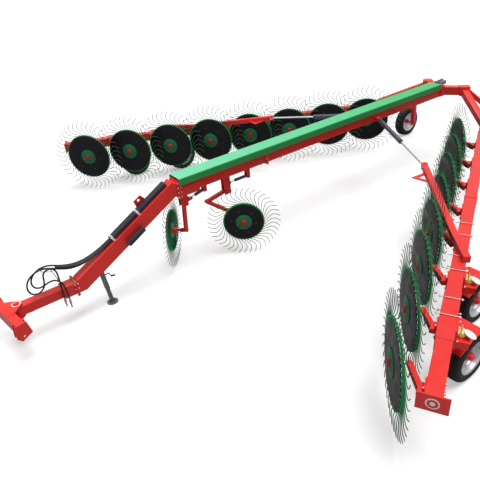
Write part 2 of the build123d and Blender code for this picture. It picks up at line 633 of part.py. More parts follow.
def hitch_head():
    """The swivelling crosshead with a clevis for a lower link at each end."""
    pin = Vector(HITCH_PIN_X, 0, TUBE_Z)
    turn = Pos(pin.X, 0, 0) * Rot(0, 0, HITCH_YAW) * Pos(-pin.X, 0, 0)
    cross_x = pin.X - CROSS_FORE
    gap = TUBE_SIZE / 2 + 10 + 3
    pieces = [Pos(cross_x, 0, TUBE_Z + 30) * Box(CROSS_SIZE, 2 * CROSS_HALF, CROSS_SIZE)]
    for z in (TUBE_Z + gap, TUBE_Z - gap - 14):
        outline = Polyline((pin.X + 60, -45), (pin.X + 60, 45), (cross_x + CROSS_SIZE / 2 - 20, 170),
                           (cross_x - CROSS_SIZE / 2, 170), (cross_x - CROSS_SIZE / 2, -170),
                           (cross_x + CROSS_SIZE / 2 - 20, -170), (pin.X + 60, -45))
        pieces.append(extrude(Pos(0, 0, z) * make_face(outline), 14))
    web = Pos(cross_x - CROSS_SIZE / 2 + 8, 0, TUBE_Z - 35) * Box(16, 2 * (CROSS_HALF - 80), 120)
    pieces.append(web)
    kingpin = Pos(pin.X, 0, TUBE_Z - gap - 30) * extrude(Circle(HITCH_PIN_R), 2 * gap + 60)
    pieces.append(kingpin)
    for side in (-1, 1):
        for inset in (0, 72):
            y = side * (CROSS_HALF - 8 - inset)
            cheek = Plane(origin=(0, y + 8, 0), x_dir=(1, 0, 0), z_dir=(0, -1, 0)) * make_face(Polyline(
                (cross_x - 75, TUBE_Z + 85), (cross_x + 75, TUBE_Z + 85), (cross_x + 105, TUBE_Z - 90),
                (cross_x - 40, TUBE_Z - 150), (cross_x - 90, TUBE_Z - 90), (cross_x - 75, TUBE_Z + 85)))
            pieces.append(extrude(cheek, 16))
    head = fuse(pieces)
    hole = Plane(origin=(cross_x, 600, TUBE_Z - LINK_PIN_DROP), z_dir=(0, -1, 0)) * Circle(LINK_PIN_R)
    head = head - extrude(hole, 1200)
    return turn * head


def rear_yoke():
    z = BEAM_TOP - BEAM_H / 2
    core = Pos(BEAM_REAR_X + SEAT + 60, 0, z) * Box(120, BEAM_W + 30, BEAM_H)
    arms = []
    for side in (-1, 1):
        shoulder = Vector(YOKE_X, side * YOKE_Y, YOKE_Z)
        arms.append(bar(Vector(BEAM_REAR_X + 90, side * 30, z), shoulder, YOKE_SIZE, YOKE_SIZE))
        arms.append(Pos(shoulder) * Rot(0, 0, side * SHOULDER_YAW) * Box(
            SHOULDER_LEN, SHOULDER_W, YOKE_SIZE + 20))
    return fuse([core] + arms)


def rear_leg(side):
    out = unit(side * SHOULDER_YAW)
    face = Vector(YOKE_X, side * YOKE_Y, YOKE_Z) + (SHOULDER_LEN / 2 + SEAT) * out
    plate = bar(face, face + PLATE_T * out, SHOULDER_W, YOKE_SIZE + 20)
    top = face - Vector(0, 0, 20)
    knee = Vector(REAR_WHEEL_X - 40, side * (REAR_WHEEL_Y - LEG_INSET), KNEE_Z)
    low = Vector(REAR_WHEEL_X, side * (REAR_WHEEL_Y - LEG_INSET), TYRE_R - 35)
    upper = bar(top, knee, LEG_SIZE, LEG_SIZE)
    beyond = bar(face - 200 * out, face, 400, 600)
    upper = upper - beyond + plate
    lower = bar(knee + Vector(0, 0, 30), low, LEG_SIZE, LEG_SIZE, Vector(1, 0, 0))
    axle = rod(Vector(low.X, low.Y, TYRE_R), Vector(low.X, side * (REAR_WHEEL_Y - 45), TYRE_R), AXLE_R)
    return upper + lower + axle


def wing_hanger():
    gap = PIVOT_BOSS_H / 2 + 2
    p = wing_pivot
    back = -out_dir
    pieces = []
    for z in (wing_beam_z + gap, wing_beam_z - gap - 20):
        pad = Pos(p.X, p.Y, z) * extrude(Circle(PIVOT_BOSS_R), 20)
        middle = Vector(p.X, p.Y, z + 10)
        tongue = bar(middle, middle + 170 * back, 2 * PIVOT_BOSS_R - 20, 20)
        pieces += [pad, tongue]
    pin = Pos(p.X, p.Y, wing_beam_z - gap - 30) * extrude(Circle(PIVOT_PIN_R), 2 * gap + 60)
    web_low = Vector(p.X, p.Y, wing_beam_z - gap - 20) + 130 * back
    web = bar(web_low, web_low + Vector(0, 0, 2 * gap + 40), 100, 90, back)
    out = unit(90 + SHOULDER_YAW)
    face = Vector(YOKE_X, YOKE_Y, YOKE_Z) + (SHOULDER_W / 2 + SEAT) * out
    plate = bar(face, face + PLATE_T * out, SHOULDER_LEN, YOKE_SIZE + 20)
    arm = bar(web_low + Vector(0, 0, 2 * gap + 10), face - Vector(0, 0, 20), 120, 110)
    arm = arm - bar(face - 200 * out, face, 400, 600)
    return fuse([web, arm, plate, pin] + pieces)


def jack():
    lean = Vector(math.sin(math.radians(JACK_LEAN)), 0, -math.cos(math.radians(JACK_LEAN)))
    foot = Vector(JACK_X, 0, 0)
    up = -lean
    per_z = 1 / math.cos(math.radians(JACK_LEAN))
    top = foot + JACK_TOP_Z * per_z * up
    low = foot + JACK_TUBE_LOW * per_z * up
    cut = bar(slope_at(-0.2, -SLOPE_H / 2 - SEAT + 300), slope_at(1.2, -SLOPE_H / 2 - SEAT + 300), 400, 600)
    outer = bar(low, top, JACK_TUBE, JACK_TUBE, Vector(1, 0, 0))
    inside = JACK_TUBE - 2 * JACK_WALL
    hollow = bar(low - up, top - 60 * up, inside, inside, Vector(1, 0, 0))
    plate = bar(slope_at(0.70, -SLOPE_H / 2 - SEAT - 5), slope_at(0.86, -SLOPE_H / 2 - SEAT - 5), 120, 10)
    outer = (outer - cut) + plate - hollow
    size = JACK_TUBE - 2 * JACK_WALL - 2 * JACK_INNER_GAP
    inner = bar(foot + 6 * up, foot + JACK_INNER_LEN * up, size, size, Vector(1, 0, 0))
    pad = extrude(Circle(FOOT_R), FOOT_T)
    pad = Pos(foot.X, 0, 0) * pad
    rib = Pos(foot.X, 0, 25) * Box(90, 8, 40)
    inner = (inner + pad + rib) & Pos(foot.X, 0, 500) * Box(600, 600, 1000)
    return outer, inner


def hose_guard():
    lift = SLOPE_H / 2 + SEAT + GUARD_H / 2
    return bar(slope_at(GUARD_START, lift), slope_at(GUARD_END, lift), GUARD_W, GUARD_H)


def document_tube():
    y = -(SLOPE_W / 2 + CAN_R + SEAT)
    half = CAN_LEN / 2 / 1790
    lift = -45.0
    return rod(slope_at(CAN_S - half, lift, y), slope_at(CAN_S + half, lift, y), CAN_R)


def lifting_lug():
    lift = SLOPE_H / 2
    y = SLOPE_W / 2 - 12
    outline = Plane(origin=(0, y + 12, 0), x_dir=(1, 0, 0), z_dir=(0, -1, 0)) * make_face(Polyline(
        *[(p.X, p.Z) for p in (slope_at(LUG_S - 0.05, lift + SEAT), slope_at(LUG_S - 0.035, lift + 130),
                               slope_at(LUG_S + 0.035, lift + 130), slope_at(LUG_S + 0.05, lift + SEAT),
                               slope_at(LUG_S - 0.05, lift + SEAT))]))
    plate = extrude(outline, 12)
    c = slope_at(LUG_S, lift + 90)
    return plate - extrude(Plane(origin=(c.X, y + 20, c.Z), z_dir=(0, -1, 0)) * Circle(20), 40)


def valve_block():
    x = BEAM_REAR_X + 60
    block = Pos(x + 60, 0, BEAM_TOP + SEAT + 35) * Box(190, 130, 70)
    ports = [Pos(x + 60 + dx, 0, BEAM_TOP + SEAT + 70) * Cylinder(16, 60) for dx in (-60, 0, 60)]
    return fuse([block] + ports)


def hose(points):
    """A hose along straight runs joined by tangent arcs; the shorter run sets each arc."""
    radii = []
    for a, b, c in zip(points, points[1:], points[2:]):
        turn = (b - a).get_angle(c - b)
        run = min((b - a).length, (c - b).length)
        radii.append(0.45 * run / math.tan(math.radians(turn) / 2))
    path = FilletPolyline(*points, radius=radii)
    start = Plane(origin=points[0], z_dir=points[1] - points[0])
    tube = sweep(start * Circle(HOSE_R), path=path)
    section = math.pi * HOSE_R ** 2
    print("hose length", round(path.length), "least radius", round(min(radii)))
    print("volume share", round(tube.volume / (section * path.length), 4))
    return tube


def coupling(end):
    """A plug-in hose coupling that hangs from a hose's end."""
    x, y, z = end
    z -= 2 * SEAT
    body = Pos(x, y, z - COUPLING_LEN) * extrude(RegularPolygon(COUPLING_R, 6), COUPLING_LEN)
    tip = Pos(x, y, z - COUPLING_LEN - TIP_LEN) * extrude(Circle(TIP_R), TIP_LEN)
    return body + tip


def build_hoses():
    for name, route in (("hose_left", HOSE_LEFT), ("hose_right", HOSE_RIGHT)):
        save(hose([Vector(*p) for p in route]), name)
    save(Compound(children=[coupling(HOSE_LEFT[-1]), coupling(HOSE_RIGHT[-1])]), "hose_couplings")


def build_frame():
    save(main_beam(), "main_beam")
    save(beam_cover(), "beam_cover")
    save(drawbar(), "drawbar")
    save(drawbar_tube(), "drawbar_tube")
    save(hitch_head(), "hitch_head")
    save(rear_yoke(), "rear_yoke")
    save(Compound(children=[rear_leg(-1), rear_leg(1)]), "rear_legs")
    hanger = wing_hanger()
    save(Compound(children=[hanger, mirror_y(hanger)]), "wing_hangers")
    outer, inner = jack()
    save(outer, "jack_tube")
    save(inner, "jack_leg")
    save(hose_guard(), "hose_guard")
    save(document_tube(), "document_tube")
    save(lifting_lug(), "lifting_lug")
    save(valve_block(), "valve_block")


build()
build_frame()
build_hoses()
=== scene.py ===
import json
import bpy
import bmesh
import numpy as np
from mathutils import Matrix

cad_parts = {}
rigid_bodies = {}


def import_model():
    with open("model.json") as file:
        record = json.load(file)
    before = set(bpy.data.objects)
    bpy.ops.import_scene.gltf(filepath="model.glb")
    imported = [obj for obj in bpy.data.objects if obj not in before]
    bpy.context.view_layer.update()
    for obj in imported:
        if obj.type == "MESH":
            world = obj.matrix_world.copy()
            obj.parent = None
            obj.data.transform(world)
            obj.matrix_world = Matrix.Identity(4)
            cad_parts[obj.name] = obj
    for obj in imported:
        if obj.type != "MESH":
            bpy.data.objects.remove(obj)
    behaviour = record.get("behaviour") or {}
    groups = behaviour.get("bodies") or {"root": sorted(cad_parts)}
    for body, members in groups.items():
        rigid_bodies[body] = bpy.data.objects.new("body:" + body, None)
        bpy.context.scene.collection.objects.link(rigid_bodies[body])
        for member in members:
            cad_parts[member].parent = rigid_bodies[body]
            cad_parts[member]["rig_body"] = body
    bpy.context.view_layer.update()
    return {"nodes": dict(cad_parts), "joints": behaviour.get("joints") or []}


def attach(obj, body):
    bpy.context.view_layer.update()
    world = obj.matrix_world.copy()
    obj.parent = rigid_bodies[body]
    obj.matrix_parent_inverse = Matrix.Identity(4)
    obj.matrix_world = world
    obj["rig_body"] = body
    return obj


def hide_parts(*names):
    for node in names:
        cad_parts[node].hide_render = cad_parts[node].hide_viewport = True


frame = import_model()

joint_at = {j["name"]: j for j in frame["joints"]}


# Main beam: a welded square tube that carries the whole machine, with a bolted
# flange at its front end, a deep web behind it and a bolted joint on the way.
# Powder-coated red steel: smooth, a little glossy, faintly dusty.
def shader_group(name, inputs, outputs):
    """A shader node group with named sockets; inputs and outputs are name to socket type."""
    tree = bpy.data.node_groups.new(name, "ShaderNodeTree")
    for label, kind in inputs.items():
        tree.interface.new_socket(label, in_out="INPUT", socket_type="NodeSocket" + kind)
    for label, kind in outputs.items():
        tree.interface.new_socket(label, in_out="OUTPUT", socket_type="NodeSocket" + kind)
    return tree, tree.nodes.new("NodeGroupInput").outputs, tree.nodes.new("NodeGroupOutput").inputs


def add(tree, kind, links=(), **values):
    """A node of that kind; links are (input, socket or value), values are its own properties."""
    node = tree.nodes.new("ShaderNode" + kind)
    for key, value in values.items():
        setattr(node, key, value)
    for key, value in links:
        if isinstance(value, bpy.types.NodeSocket):
            tree.links.new(value, node.inputs[key])
        else:
            node.inputs[key].default_value = value
    return node


def noise(tree, scale, detail, coords):
    """Fractal noise on object coordinates, as a number from about 0.3 to 0.7."""
    return add(tree, "TexNoise", [("Vector", coords), ("Scale", scale), ("Detail", detail)]).outputs["Fac"]


def weathering():
    """Broad shade, a film of dust in patches, uneven gloss and an orange-peel height."""
    tree, given, out = shader_group("weathering", {
        "Paint": "Color", "Dust": "Color", "Shade": "Float", "Film": "Float", "Gloss": "Float",
        "Broad": "Float", "Fine": "Float"}, {"Color": "Color", "Roughness": "Float", "Height": "Float"})
    place = add(tree, "TexCoord").outputs["Object"]
    broad = noise(tree, given["Broad"], 3.0, place)
    patch = noise(tree, 9.0, 6.0, place)
    fine = noise(tree, given["Fine"], 2.0, place)
    level = add(tree, "MapRange", [("Value", broad), ("From Min", 0.3), ("From Max", 0.7), ("To Min", -1.0),
                                   ("To Max", 1.0)]).outputs["Result"]
    gain = add(tree, "Math", [(0, level), (1, given["Shade"]), (2, 1.0)], operation="MULTIPLY_ADD").outputs[0]
    shaded = add(tree, "HueSaturation", [("Color", given["Paint"]), ("Value", gain)]).outputs["Color"]
    mask = add(tree, "MapRange", [("Value", patch), ("From Min", 0.45), ("From Max", 0.75)]).outputs["Result"]
    film = add(tree, "Math", [(0, mask), (1, given["Film"])], operation="MULTIPLY").outputs[0]
    mixed = add(tree, "Mix", [(0, film), (6, shaded), (7, given["Dust"])], data_type="RGBA")
    tree.links.new(mixed.outputs[2], out["Color"])
    duller = [(0, mask), (1, 0.18), (2, given["Gloss"])]
    rough = add(tree, "Math", duller, operation="MULTIPLY_ADD").outputs[0]
    tree.links.new(rough, out["Roughness"])
    tree.links.new(fine, out["Height"])
    return tree


WEATHERING = weathering()


def finish(name, paint, gloss, shade=0.06, film=0.12, dust=(0.5, 0.45, 0.38), metallic=0.0, coat=0.0,
           broad=1.6, fine=180.0, bump=0.05, specular=0.5):
    """A material of one paint or bare metal under the shared weathering group."""
    mat = bpy.data.materials.new(name)
    mat.use_nodes = True
    tree = mat.node_tree
    shader = tree.nodes["Principled BSDF"]
    worn = tree.nodes.new("ShaderNodeGroup")
    worn.node_tree = WEATHERING
    for key, value in (("Paint", (*paint, 1)), ("Dust", (*dust, 1)), ("Shade", shade), ("Film", film),
                       ("Gloss", gloss), ("Broad", broad), ("Fine", fine)):
        worn.inputs[key].default_value = value
    relief = add(tree, "Bump", [("Height", worn.outputs["Height"]), ("Strength", bump), ("Distance", 0.001)])
    tree.links.new(worn.outputs["Color"], shader.inputs["Base Color"])
    tree.links.new(worn.outputs["Roughness"], shader.inputs["Roughness"])
    tree.links.new(relief.outputs["Normal"], shader.inputs["Normal"])
    shader.inputs["Metallic"].default_value = metallic
    shader.inputs["Specular IOR Level"].default_value = specular
    shader.inputs["Coat Weight"].default_value = coat
    shader.inputs["Coat Roughness"].default_value = 0.12
    return mat


RED = finish("red_paint", (0.76, 0.026, 0.020), 0.36, shade=0.06, film=0.03, specular=0.35)


def dressed(node, mat, width=0.003, segments=2, flat=0.6, accent=None, above=0.0):
    """A CAD node's own form, merged, its flat faces joined and its edges rounded; the faces
    that lie higher than above take the accent."""
    source = frame["nodes"][node]
    mesh = source.data.copy()
    mesh.name = node + "_rounded"
    work = bmesh.new()
    work.from_mesh(mesh)
    bmesh.ops.remove_doubles(work, verts=work.verts, dist=1e-5)
    bmesh.ops.dissolve_limit(work, angle_limit=0.01, verts=work.verts, edges=work.edges)
    bmesh.ops.recalc_face_normals(work, faces=work.faces)
    work.to_mesh(mesh)
    work.free()
    mesh.materials.clear()
    mesh.materials.append(mat)
    if accent:
        mesh.materials.append(accent)
        for face in mesh.polygons:
            face.material_index = int(face.center.z > above)
    mesh.shade_smooth()
    mesh.set_sharp_from_angle(angle=flat)
    obj = bpy.data.objects.new(node + "_dressed", mesh)
    bpy.context.scene.collection.objects.link(obj)
    if width:
        bevel = obj.modifiers.new("edges", "BEVEL")
        bevel.width = width
        bevel.segments = segments
        bevel.limit_method = "ANGLE"
        bevel.angle_limit = 0.6
        bevel.harden_normals = True
        bevel.use_clamp_overlap = True
    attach(obj, source["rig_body"])
    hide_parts(node)


dressed("main_beam", RED, 0.006)


# Brackets of the main beam: red plates and pin cheeks, welded on, that hold the
# barrels of the rams and the arms of the two centre wheels.
dressed("beam_brackets", RED, 0.0015)


# Rear end: a cross tube on the main beam, two bent legs down to the rear wheels
# and the hangers on which the wing beams turn. All of it is welded red tube.
dressed("rear_yoke", RED, 0.006)
dressed("rear_legs", RED, 0.004)
dressed("wing_hangers", RED, 0.004)


# Drawbar: the sloping square tube from the main beam's flange down to the hitch,
# with a lug on it to lift the machine by.
dressed("drawbar", RED, 0.005)
dressed("lifting_lug", RED, 0.002)


# Hitch head: a crosshead that swivels on an upright pin, with a pair of bored
# cheeks at each end for the pins of a tractor's lower links.
dressed("hitch_head", RED, 0.003)


# Arms of the centre wheels: bent red tubes that hang from the brackets, one ahead
# of the other, each lifted by its own small ram.
for kicker_name in ("front", "rear"):
    dressed("kicker_arm_" + kicker_name, RED, 0.002)


# Wing beams: square tubes with a sleeve near the outer end, the boxes and legs of
# their ground wheels, and the lever on which the wing's ram pulls.
for side_name in ("left", "right"):
    for stem in ("wing_beam_", "wheel_carriers_", "wing_lever_"):
        dressed(stem + side_name, RED, 0.003)


# Beam cover: a folded lid of green sheet over the hoses and valves on the main
# beam. Its top is paler towards the drawbar, which is a painted highlight, and its
# folded sides are dark green, which is painted shade.
PAINTED_HIGHLIGHT_RUN_X = (-2.2, 2.8)
PAINTED_SHADE_FOLD_Z = (1.499, 1.503)
# Painted highlight: this pale green stands in for light on the top towards the drawbar.
COVER_PAINTED_HIGHLIGHT = (0.16, 0.66, 0.37, 1)
COVER_DEEP = (0.030, 0.45, 0.13, 1)
# Painted shade: this dark green stands in for shade on the folded sides.
COVER_SIDE_PAINTED_SHADE = (0.02, 0.27, 0.07, 1)
# The cover's material paints that highlight and that shade over its plain green paint.
COVER_GREEN_WITH_PAINTED_LIGHT = finish("green_paint", COVER_DEEP[:3], 0.4, shade=0.05, film=0.03, specular=0.3)
green_tree = COVER_GREEN_WITH_PAINTED_LIGHT.node_tree
cover_place = add(green_tree, "SeparateXYZ", [(0, add(green_tree, "TexCoord").outputs["Object"])]).outputs
# Painted highlight: along the top, from the pale colour at the drawbar end to the plain paint at the rear.
painted_highlight_share = add(green_tree, "MapRange", [("Value", cover_place["X"]), ("From Min", PAINTED_HIGHLIGHT_RUN_X[0]),
                                    ("From Max", PAINTED_HIGHLIGHT_RUN_X[1])]).outputs["Result"]
painted_highlight_ramp = add(green_tree, "ValToRGB", [("Fac", painted_highlight_share)])
painted_highlight_ramp.color_ramp.elements[0].color = COVER_PAINTED_HIGHLIGHT
painted_highlight_ramp.color_ramp.elements[1].color = COVER_DEEP
# Painted shade: faces below the fold take the dark side colour instead of the top's.
painted_shade_fold_mask = add(green_tree, "MapRange", [("Value", cover_place["Z"]), ("From Min", PAINTED_SHADE_FOLD_Z[0]),
                                   ("From Max", PAINTED_SHADE_FOLD_Z[1])]).outputs["Result"]
cover_paint_and_painted_light = add(green_tree, "Mix", [(0, painted_shade_fold_mask), (6, COVER_SIDE_PAINTED_SHADE), (7, painted_highlight_ramp.outputs["Color"])], data_type="RGBA")
green_group = next(n for n in green_tree.nodes if n.bl_idname == "ShaderNodeGroup")
green_tree.links.new(cover_paint_and_painted_light.outputs[2], green_group.inputs["Paint"])
dressed("beam_cover", COVER_GREEN_WITH_PAINTED_LIGHT, 0.002)


# Rake wheels: a black wind guard in front of a green hoop that carries forty
# bent spring-steel tines, bolted to a dark green centre with a dark red hub cap.
# The two centre wheels are the same in a smaller size.
def grid_faces(rows, columns, closed_rows=False):
    """Quads between neighbouring rows of points, each row a closed ring of columns points."""
    row, column = np.meshgrid(np.arange(rows if closed_rows else rows - 1), np.arange(columns), indexing="ij")
    nxt = (column + 1) % columns
    below = (row + 1) % rows
    quads = np.stack([row * columns + column, row * columns + nxt, below * columns + nxt,
                      below * columns + column], axis=-1)
    return [tuple(q) for q in quads.reshape(-1, 4).tolist()]


def frames_along(points):
    """Unit tangents of a line of points, with two normals carried along without twist."""
    tangent = np.gradient(points, axis=0)
    tangent /= np.linalg.norm(tangent, axis=1)[:, None]
    start = np.cross(tangent[0], (0.0, 0.0, 1.0))
    if np.linalg.norm(start) < 1e-3:
        start = np.cross(tangent[0], (1.0, 0.0, 0.0))
    normals = [start / np.linalg.norm(start)]
    for t in tangent[1:]:
        n = normals[-1] - np.dot(normals[-1], t) * t
        normals.append(n / np.linalg.norm(n))
    normals = np.array(normals)
    return tangent, normals, np.cross(tangent, normals)


def tube(points, radius, sides=8, closed=False):
    """A round section of that radius (one or one a point) carried along the points, capped."""
    points = np.asarray(points, float)
    tangent, first, second = frames_along(points)
    if closed:
        tangent = np.roll(points, -1, axis=0) - np.roll(points, 1, axis=0)
        tangent /= np.linalg.norm(tangent, axis=1)[:, None]
        spoke = points - points.mean(axis=0)
        across = np.cross(spoke[0], spoke[len(points) // 4])
        first = np.tile(across / np.linalg.norm(across), (len(points), 1))
        second = np.cross(tangent, first)
    turn = np.linspace(0, 2 * np.pi, sides, endpoint=False)
    radius = np.broadcast_to(radius, len(points))
    ring = (first[:, None] * np.cos(turn)[None, :, None] + second[:, None] * np.sin(turn)[None, :, None])
    verts = (points[:, None] + radius[:, None, None] * ring).reshape(-1, 3)
    faces = grid_faces(len(points), sides, closed)
    if not closed:
        last = (len(points) - 1) * sides
        faces += [tuple(range(sides))[::-1], tuple(range(last, last + sides))]
    return verts, faces


def turned(profile, sides=32):
    """A profile of (radius, height) stations spun about the third axis, capped at both ends."""
    profile = np.asarray(profile, float)
    turn = np.linspace(0, 2 * np.pi, sides, endpoint=False)
    radius, height = profile[:, 0], profile[:, 1]
    verts = np.stack([radius[:, None] * np.cos(turn), radius[:, None] * np.sin(turn),
                      np.repeat(height[:, None], sides, axis=1)], axis=-1).reshape(-1, 3)
    last = (len(profile) - 1) * sides
    faces = grid_faces(len(profile), sides)
    return verts, faces + [tuple(range(sides))[::-1], tuple(range(last, last + sides))]


def block(centre, size, axes=np.eye(3)):
    """A box about centre, size along the three rows of axes."""
    signs = np.array([[i, j, k] for i in (-1, 1) for j in (-1, 1) for k in (-1, 1)], float)
    verts = np.asarray(centre) + (signs * np.asarray(size) / 2) @ np.asarray(axes)
    return verts, [(0, 1, 3, 2), (4, 6, 7, 5), (0, 4, 5, 1), (2, 3, 7, 6), (0, 2, 6, 4), (1, 5, 7, 3)]


def moved(part, origin, axes):
    """A part's local points put at origin, its three local axes along the rows of axes."""
    verts, faces = part
    return np.asarray(origin) + np.asarray(verts) @ np.asarray(axes), faces


def piece(name, body, parts, replaces=(), width=0.0, flat=0.6, share=None):
    """One mesh object of (part, material) pairs; share holds a number a point for each part."""
    materials = list(dict.fromkeys(mat for _, mat in parts))
    verts = np.concatenate([p[0] for p, _ in parts])
    faces, index, offset = [], [], 0
    for (points, quads), mat in parts:
        faces += [tuple(i + offset for i in q) for q in quads]
        index += [materials.index(mat)] * len(quads)
        offset += len(points)
    mesh = bpy.data.meshes.new(name)
    mesh.from_pydata(verts.tolist(), [], faces)
    for mat in materials:
        mesh.materials.append(mat)
    mesh.polygons.foreach_set("material_index", index)
    if share is not None:
        layer = mesh.attributes.new("along", "FLOAT", "POINT")
        layer.data.foreach_set("value", np.concatenate(share).astype(np.float32))
    work = bmesh.new()
    work.from_mesh(mesh)
    bmesh.ops.recalc_face_normals(work, faces=work.faces)
    work.to_mesh(mesh)
    work.free()
    mesh.shade_smooth()
    mesh.set_sharp_from_angle(angle=flat)
    obj = bpy.data.objects.new(name, mesh)
    bpy.context.scene.collection.objects.link(obj)
    if width:
        bevel = obj.modifiers.new("edges", "BEVEL")
        bevel.width = width
        bevel.segments = 2
        bevel.limit_method = "ANGLE"
        bevel.angle_limit = 0.6
        bevel.harden_normals = True
    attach(obj, body)
    if replaces:
        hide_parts(*replaces)
    return obj


TINE_COUNT = 40
TINE_WIRE = 0.0048
TINE_ROOT = (0.012, 0.16, 0.055, 1)
TINE_TIP = (0.055, 0.085, 0.06, 1)
HOOP_BACK = 0.012
HOOP_WIRE = 0.010
BOLT_STEEL = finish("zinc_bolts", (0.46, 0.45, 0.43), 0.3, shade=0.08, film=0.1, metallic=0.9)
DULL_BOLT = finish("dull_bolts", (0.18, 0.2, 0.18), 0.45, shade=0.1, film=0.05, metallic=0.6)
GUARD_BLACK = finish("wind_guard_black", (0.007, 0.007, 0.009), 0.40, shade=0.25, film=0.04,
                     dust=(0.06, 0.055, 0.055), fine=60.0, bump=0.1, specular=0.16)
WHEEL_GREEN = finish("wheel_green", (0.010, 0.26, 0.08), 0.4, shade=0.2, film=0.03, specular=0.3)
CENTRE_GREEN = finish("centre_green", (0.006, 0.14, 0.05), 0.45, shade=0.15, film=0.03, specular=0.2)
CAP_RED = finish("cap_red", (0.40, 0.010, 0.012), 0.4, shade=0.1, film=0.03, specular=0.25)
TINE_STEEL = finish("tine_steel", TINE_TIP[:3], 0.45, shade=0.1, film=0.0, specular=0.3)
tine_tree = TINE_STEEL.node_tree
tine_share = add(tine_tree, "Attribute", attribute_name="along").outputs["Fac"]
tine_ramp = add(tine_tree, "ValToRGB", [("Fac", tine_share)])
tine_ramp.color_ramp.elements[0].position = 0.52
tine_ramp.color_ramp.elements[0].color = TINE_ROOT
tine_ramp.color_ramp.elements[1].position = 0.72
tine_ramp.color_ramp.elements[1].color = TINE_TIP
tine_group = next(n for n in tine_tree.nodes if n.bl_idname == "ShaderNodeGroup")
tine_tree.links.new(tine_ramp.outputs["Color"], tine_group.inputs["Paint"])


def tine_line(hoop_r, tip_r, steps=13):
    """Inner run from the centre plate to the hoop, then out: it leans one way, turns at
    0.6 of its reach and leans back. Angle = 20 deg (1 - (1 - w / 0.6)^2), then falls by 6 deg."""
    inner = np.linspace(0.0, 1.0, 5)[:-1]
    w = np.linspace(0.0, 1.0, steps)
    rise = 20.0 * (1 - (1 - w / 0.6) ** 2)
    fall = 20.0 - 6.0 * (np.maximum(w - 0.6, 0) / 0.4) ** 1.5
    lean = np.where(w < 0.6, rise, fall)
    radius = np.concatenate([0.36 * hoop_r + inner * 0.64 * hoop_r, hoop_r + w * (tip_r - hoop_r)])
    angle = np.radians(np.concatenate([-16.0 * (1 - inner), lean]))
    height = np.concatenate([-0.014 - inner * 0.004, np.full(steps, -0.018)])
    return np.stack([radius * np.cos(angle), radius * np.sin(angle), height], axis=-1)


def rake_wheel(node, sense, tip_r, guard_r, centre_r):
    """One wheel on its spin joint, the guard to the front; sense turns the tines' lean."""
    hub, normal = np.array(joint_at[node + "_spin"]["pos_m"]), -np.array(joint_at[node + "_spin"]["axis"])
    up = np.array((0.0, 0.0, 1.0))
    axes = np.array([up, sense * np.cross(normal, up), normal])
    guard = turned([(0.02, -0.002), (guard_r - 0.02, -0.002), (guard_r, 0.000), (guard_r + 0.001, 0.003),
                    (guard_r - 0.002, 0.006), (guard_r - 0.02, 0.010), (0.55 * guard_r, 0.013),
                    (0.5 * guard_r, 0.012), (0.02, 0.012)], 72)
    centre = turned([(0.02, 0.012), (centre_r, 0.013), (centre_r, 0.018), (centre_r - 0.006, 0.022),
                     (0.72 * centre_r, 0.024), (0.66 * centre_r, 0.030), (0.02, 0.030)], 48)
    back = turned([(0.03, -0.022), (0.38 * guard_r, -0.022), (0.38 * guard_r, -0.012), (0.03, -0.012)], 40)
    hub_back = turned([(0.02, -0.095), (0.042, -0.095), (0.045, -0.09), (0.045, -0.02), (0.02, -0.02)], 24)
    cap = turned([(0.01, 0.029), (0.044, 0.029), (0.045, 0.034), (0.036, 0.048), (0.030, 0.053),
                  (0.004, 0.054)], 24)
    turn = np.linspace(0, 2 * np.pi, 72, endpoint=False)
    hoop_r = guard_r + 0.002
    hoop_line = np.stack([hoop_r * np.cos(turn), hoop_r * np.sin(turn), np.full(72, -HOOP_BACK)], axis=-1)
    hoop = tube(hoop_line, HOOP_WIRE, 8, closed=True)
    line = tine_line(hoop_r, tip_r)
    thin = np.concatenate([np.full(len(line) - 1, TINE_WIRE), [TINE_WIRE * 0.8]])
    one, faces = tube(line, thin, 5)
    reach = np.repeat(np.linspace(0.0, 1.0, len(line)), 5)
    parts = [(guard, GUARD_BLACK), (centre, CENTRE_GREEN), (back, WHEEL_GREEN), (hub_back, RED),
             (cap, CAP_RED), (hoop, WHEEL_GREEN)]
    share = [np.zeros(len(p[0])) for p, _ in parts]
    for k in range(TINE_COUNT):
        a = 2 * np.pi * k / TINE_COUNT
        c, s = np.cos(a), np.sin(a)
        spin = np.array([[c, s, 0], [-s, c, 0], [0, 0, 1]])
        parts.append(((one @ spin, faces), TINE_STEEL))
        share.append(reach)
        clip = block((hoop_r, 0, -HOOP_BACK + 0.004), (0.024, 0.018, 0.030))
        parts.append(((clip[0] @ spin, clip[1]), WHEEL_GREEN))
        share.append(np.zeros(8))
    for ring_r, count, size in ((0.62 * guard_r, 6, 0.0065), (0.8 * centre_r, 8, 0.006), (0.072, 5, 0.009)):
        base = 0.0285 if ring_r < 0.66 * centre_r else (0.022 if ring_r < centre_r else 0.011)
        for k in range(count):
            a = 2 * np.pi * (k + 0.3) / count
            head = turned([(0.002, base), (size, base), (size, base + 0.005), (0.002, base + 0.006)], 6)
            place = np.array([ring_r * np.cos(a), ring_r * np.sin(a), 0.0])
            parts.append(((head[0] + place, head[1]), CAP_RED if base > 0.028 else DULL_BOLT))
            share.append(np.zeros(len(head[0])))
    parts = [(moved(p, hub, axes), mat) for p, mat in parts]
    piece(node + "_dressed", node, parts, (node,), share=share, flat=0.7)


for side, side_name in ((1, "right"), (-1, "left")):
    for number in range(1, 9):
        rake_wheel(f"rake_wheel_{side_name}_{number}", side, tip_r=0.70, guard_r=0.428, centre_r=0.148)
for kicker_name, sense in (("rear", 1), ("front", -1)):
    rake_wheel("kicker_wheel_" + kicker_name, sense, tip_r=0.56, guard_r=0.30, centre_r=0.125)


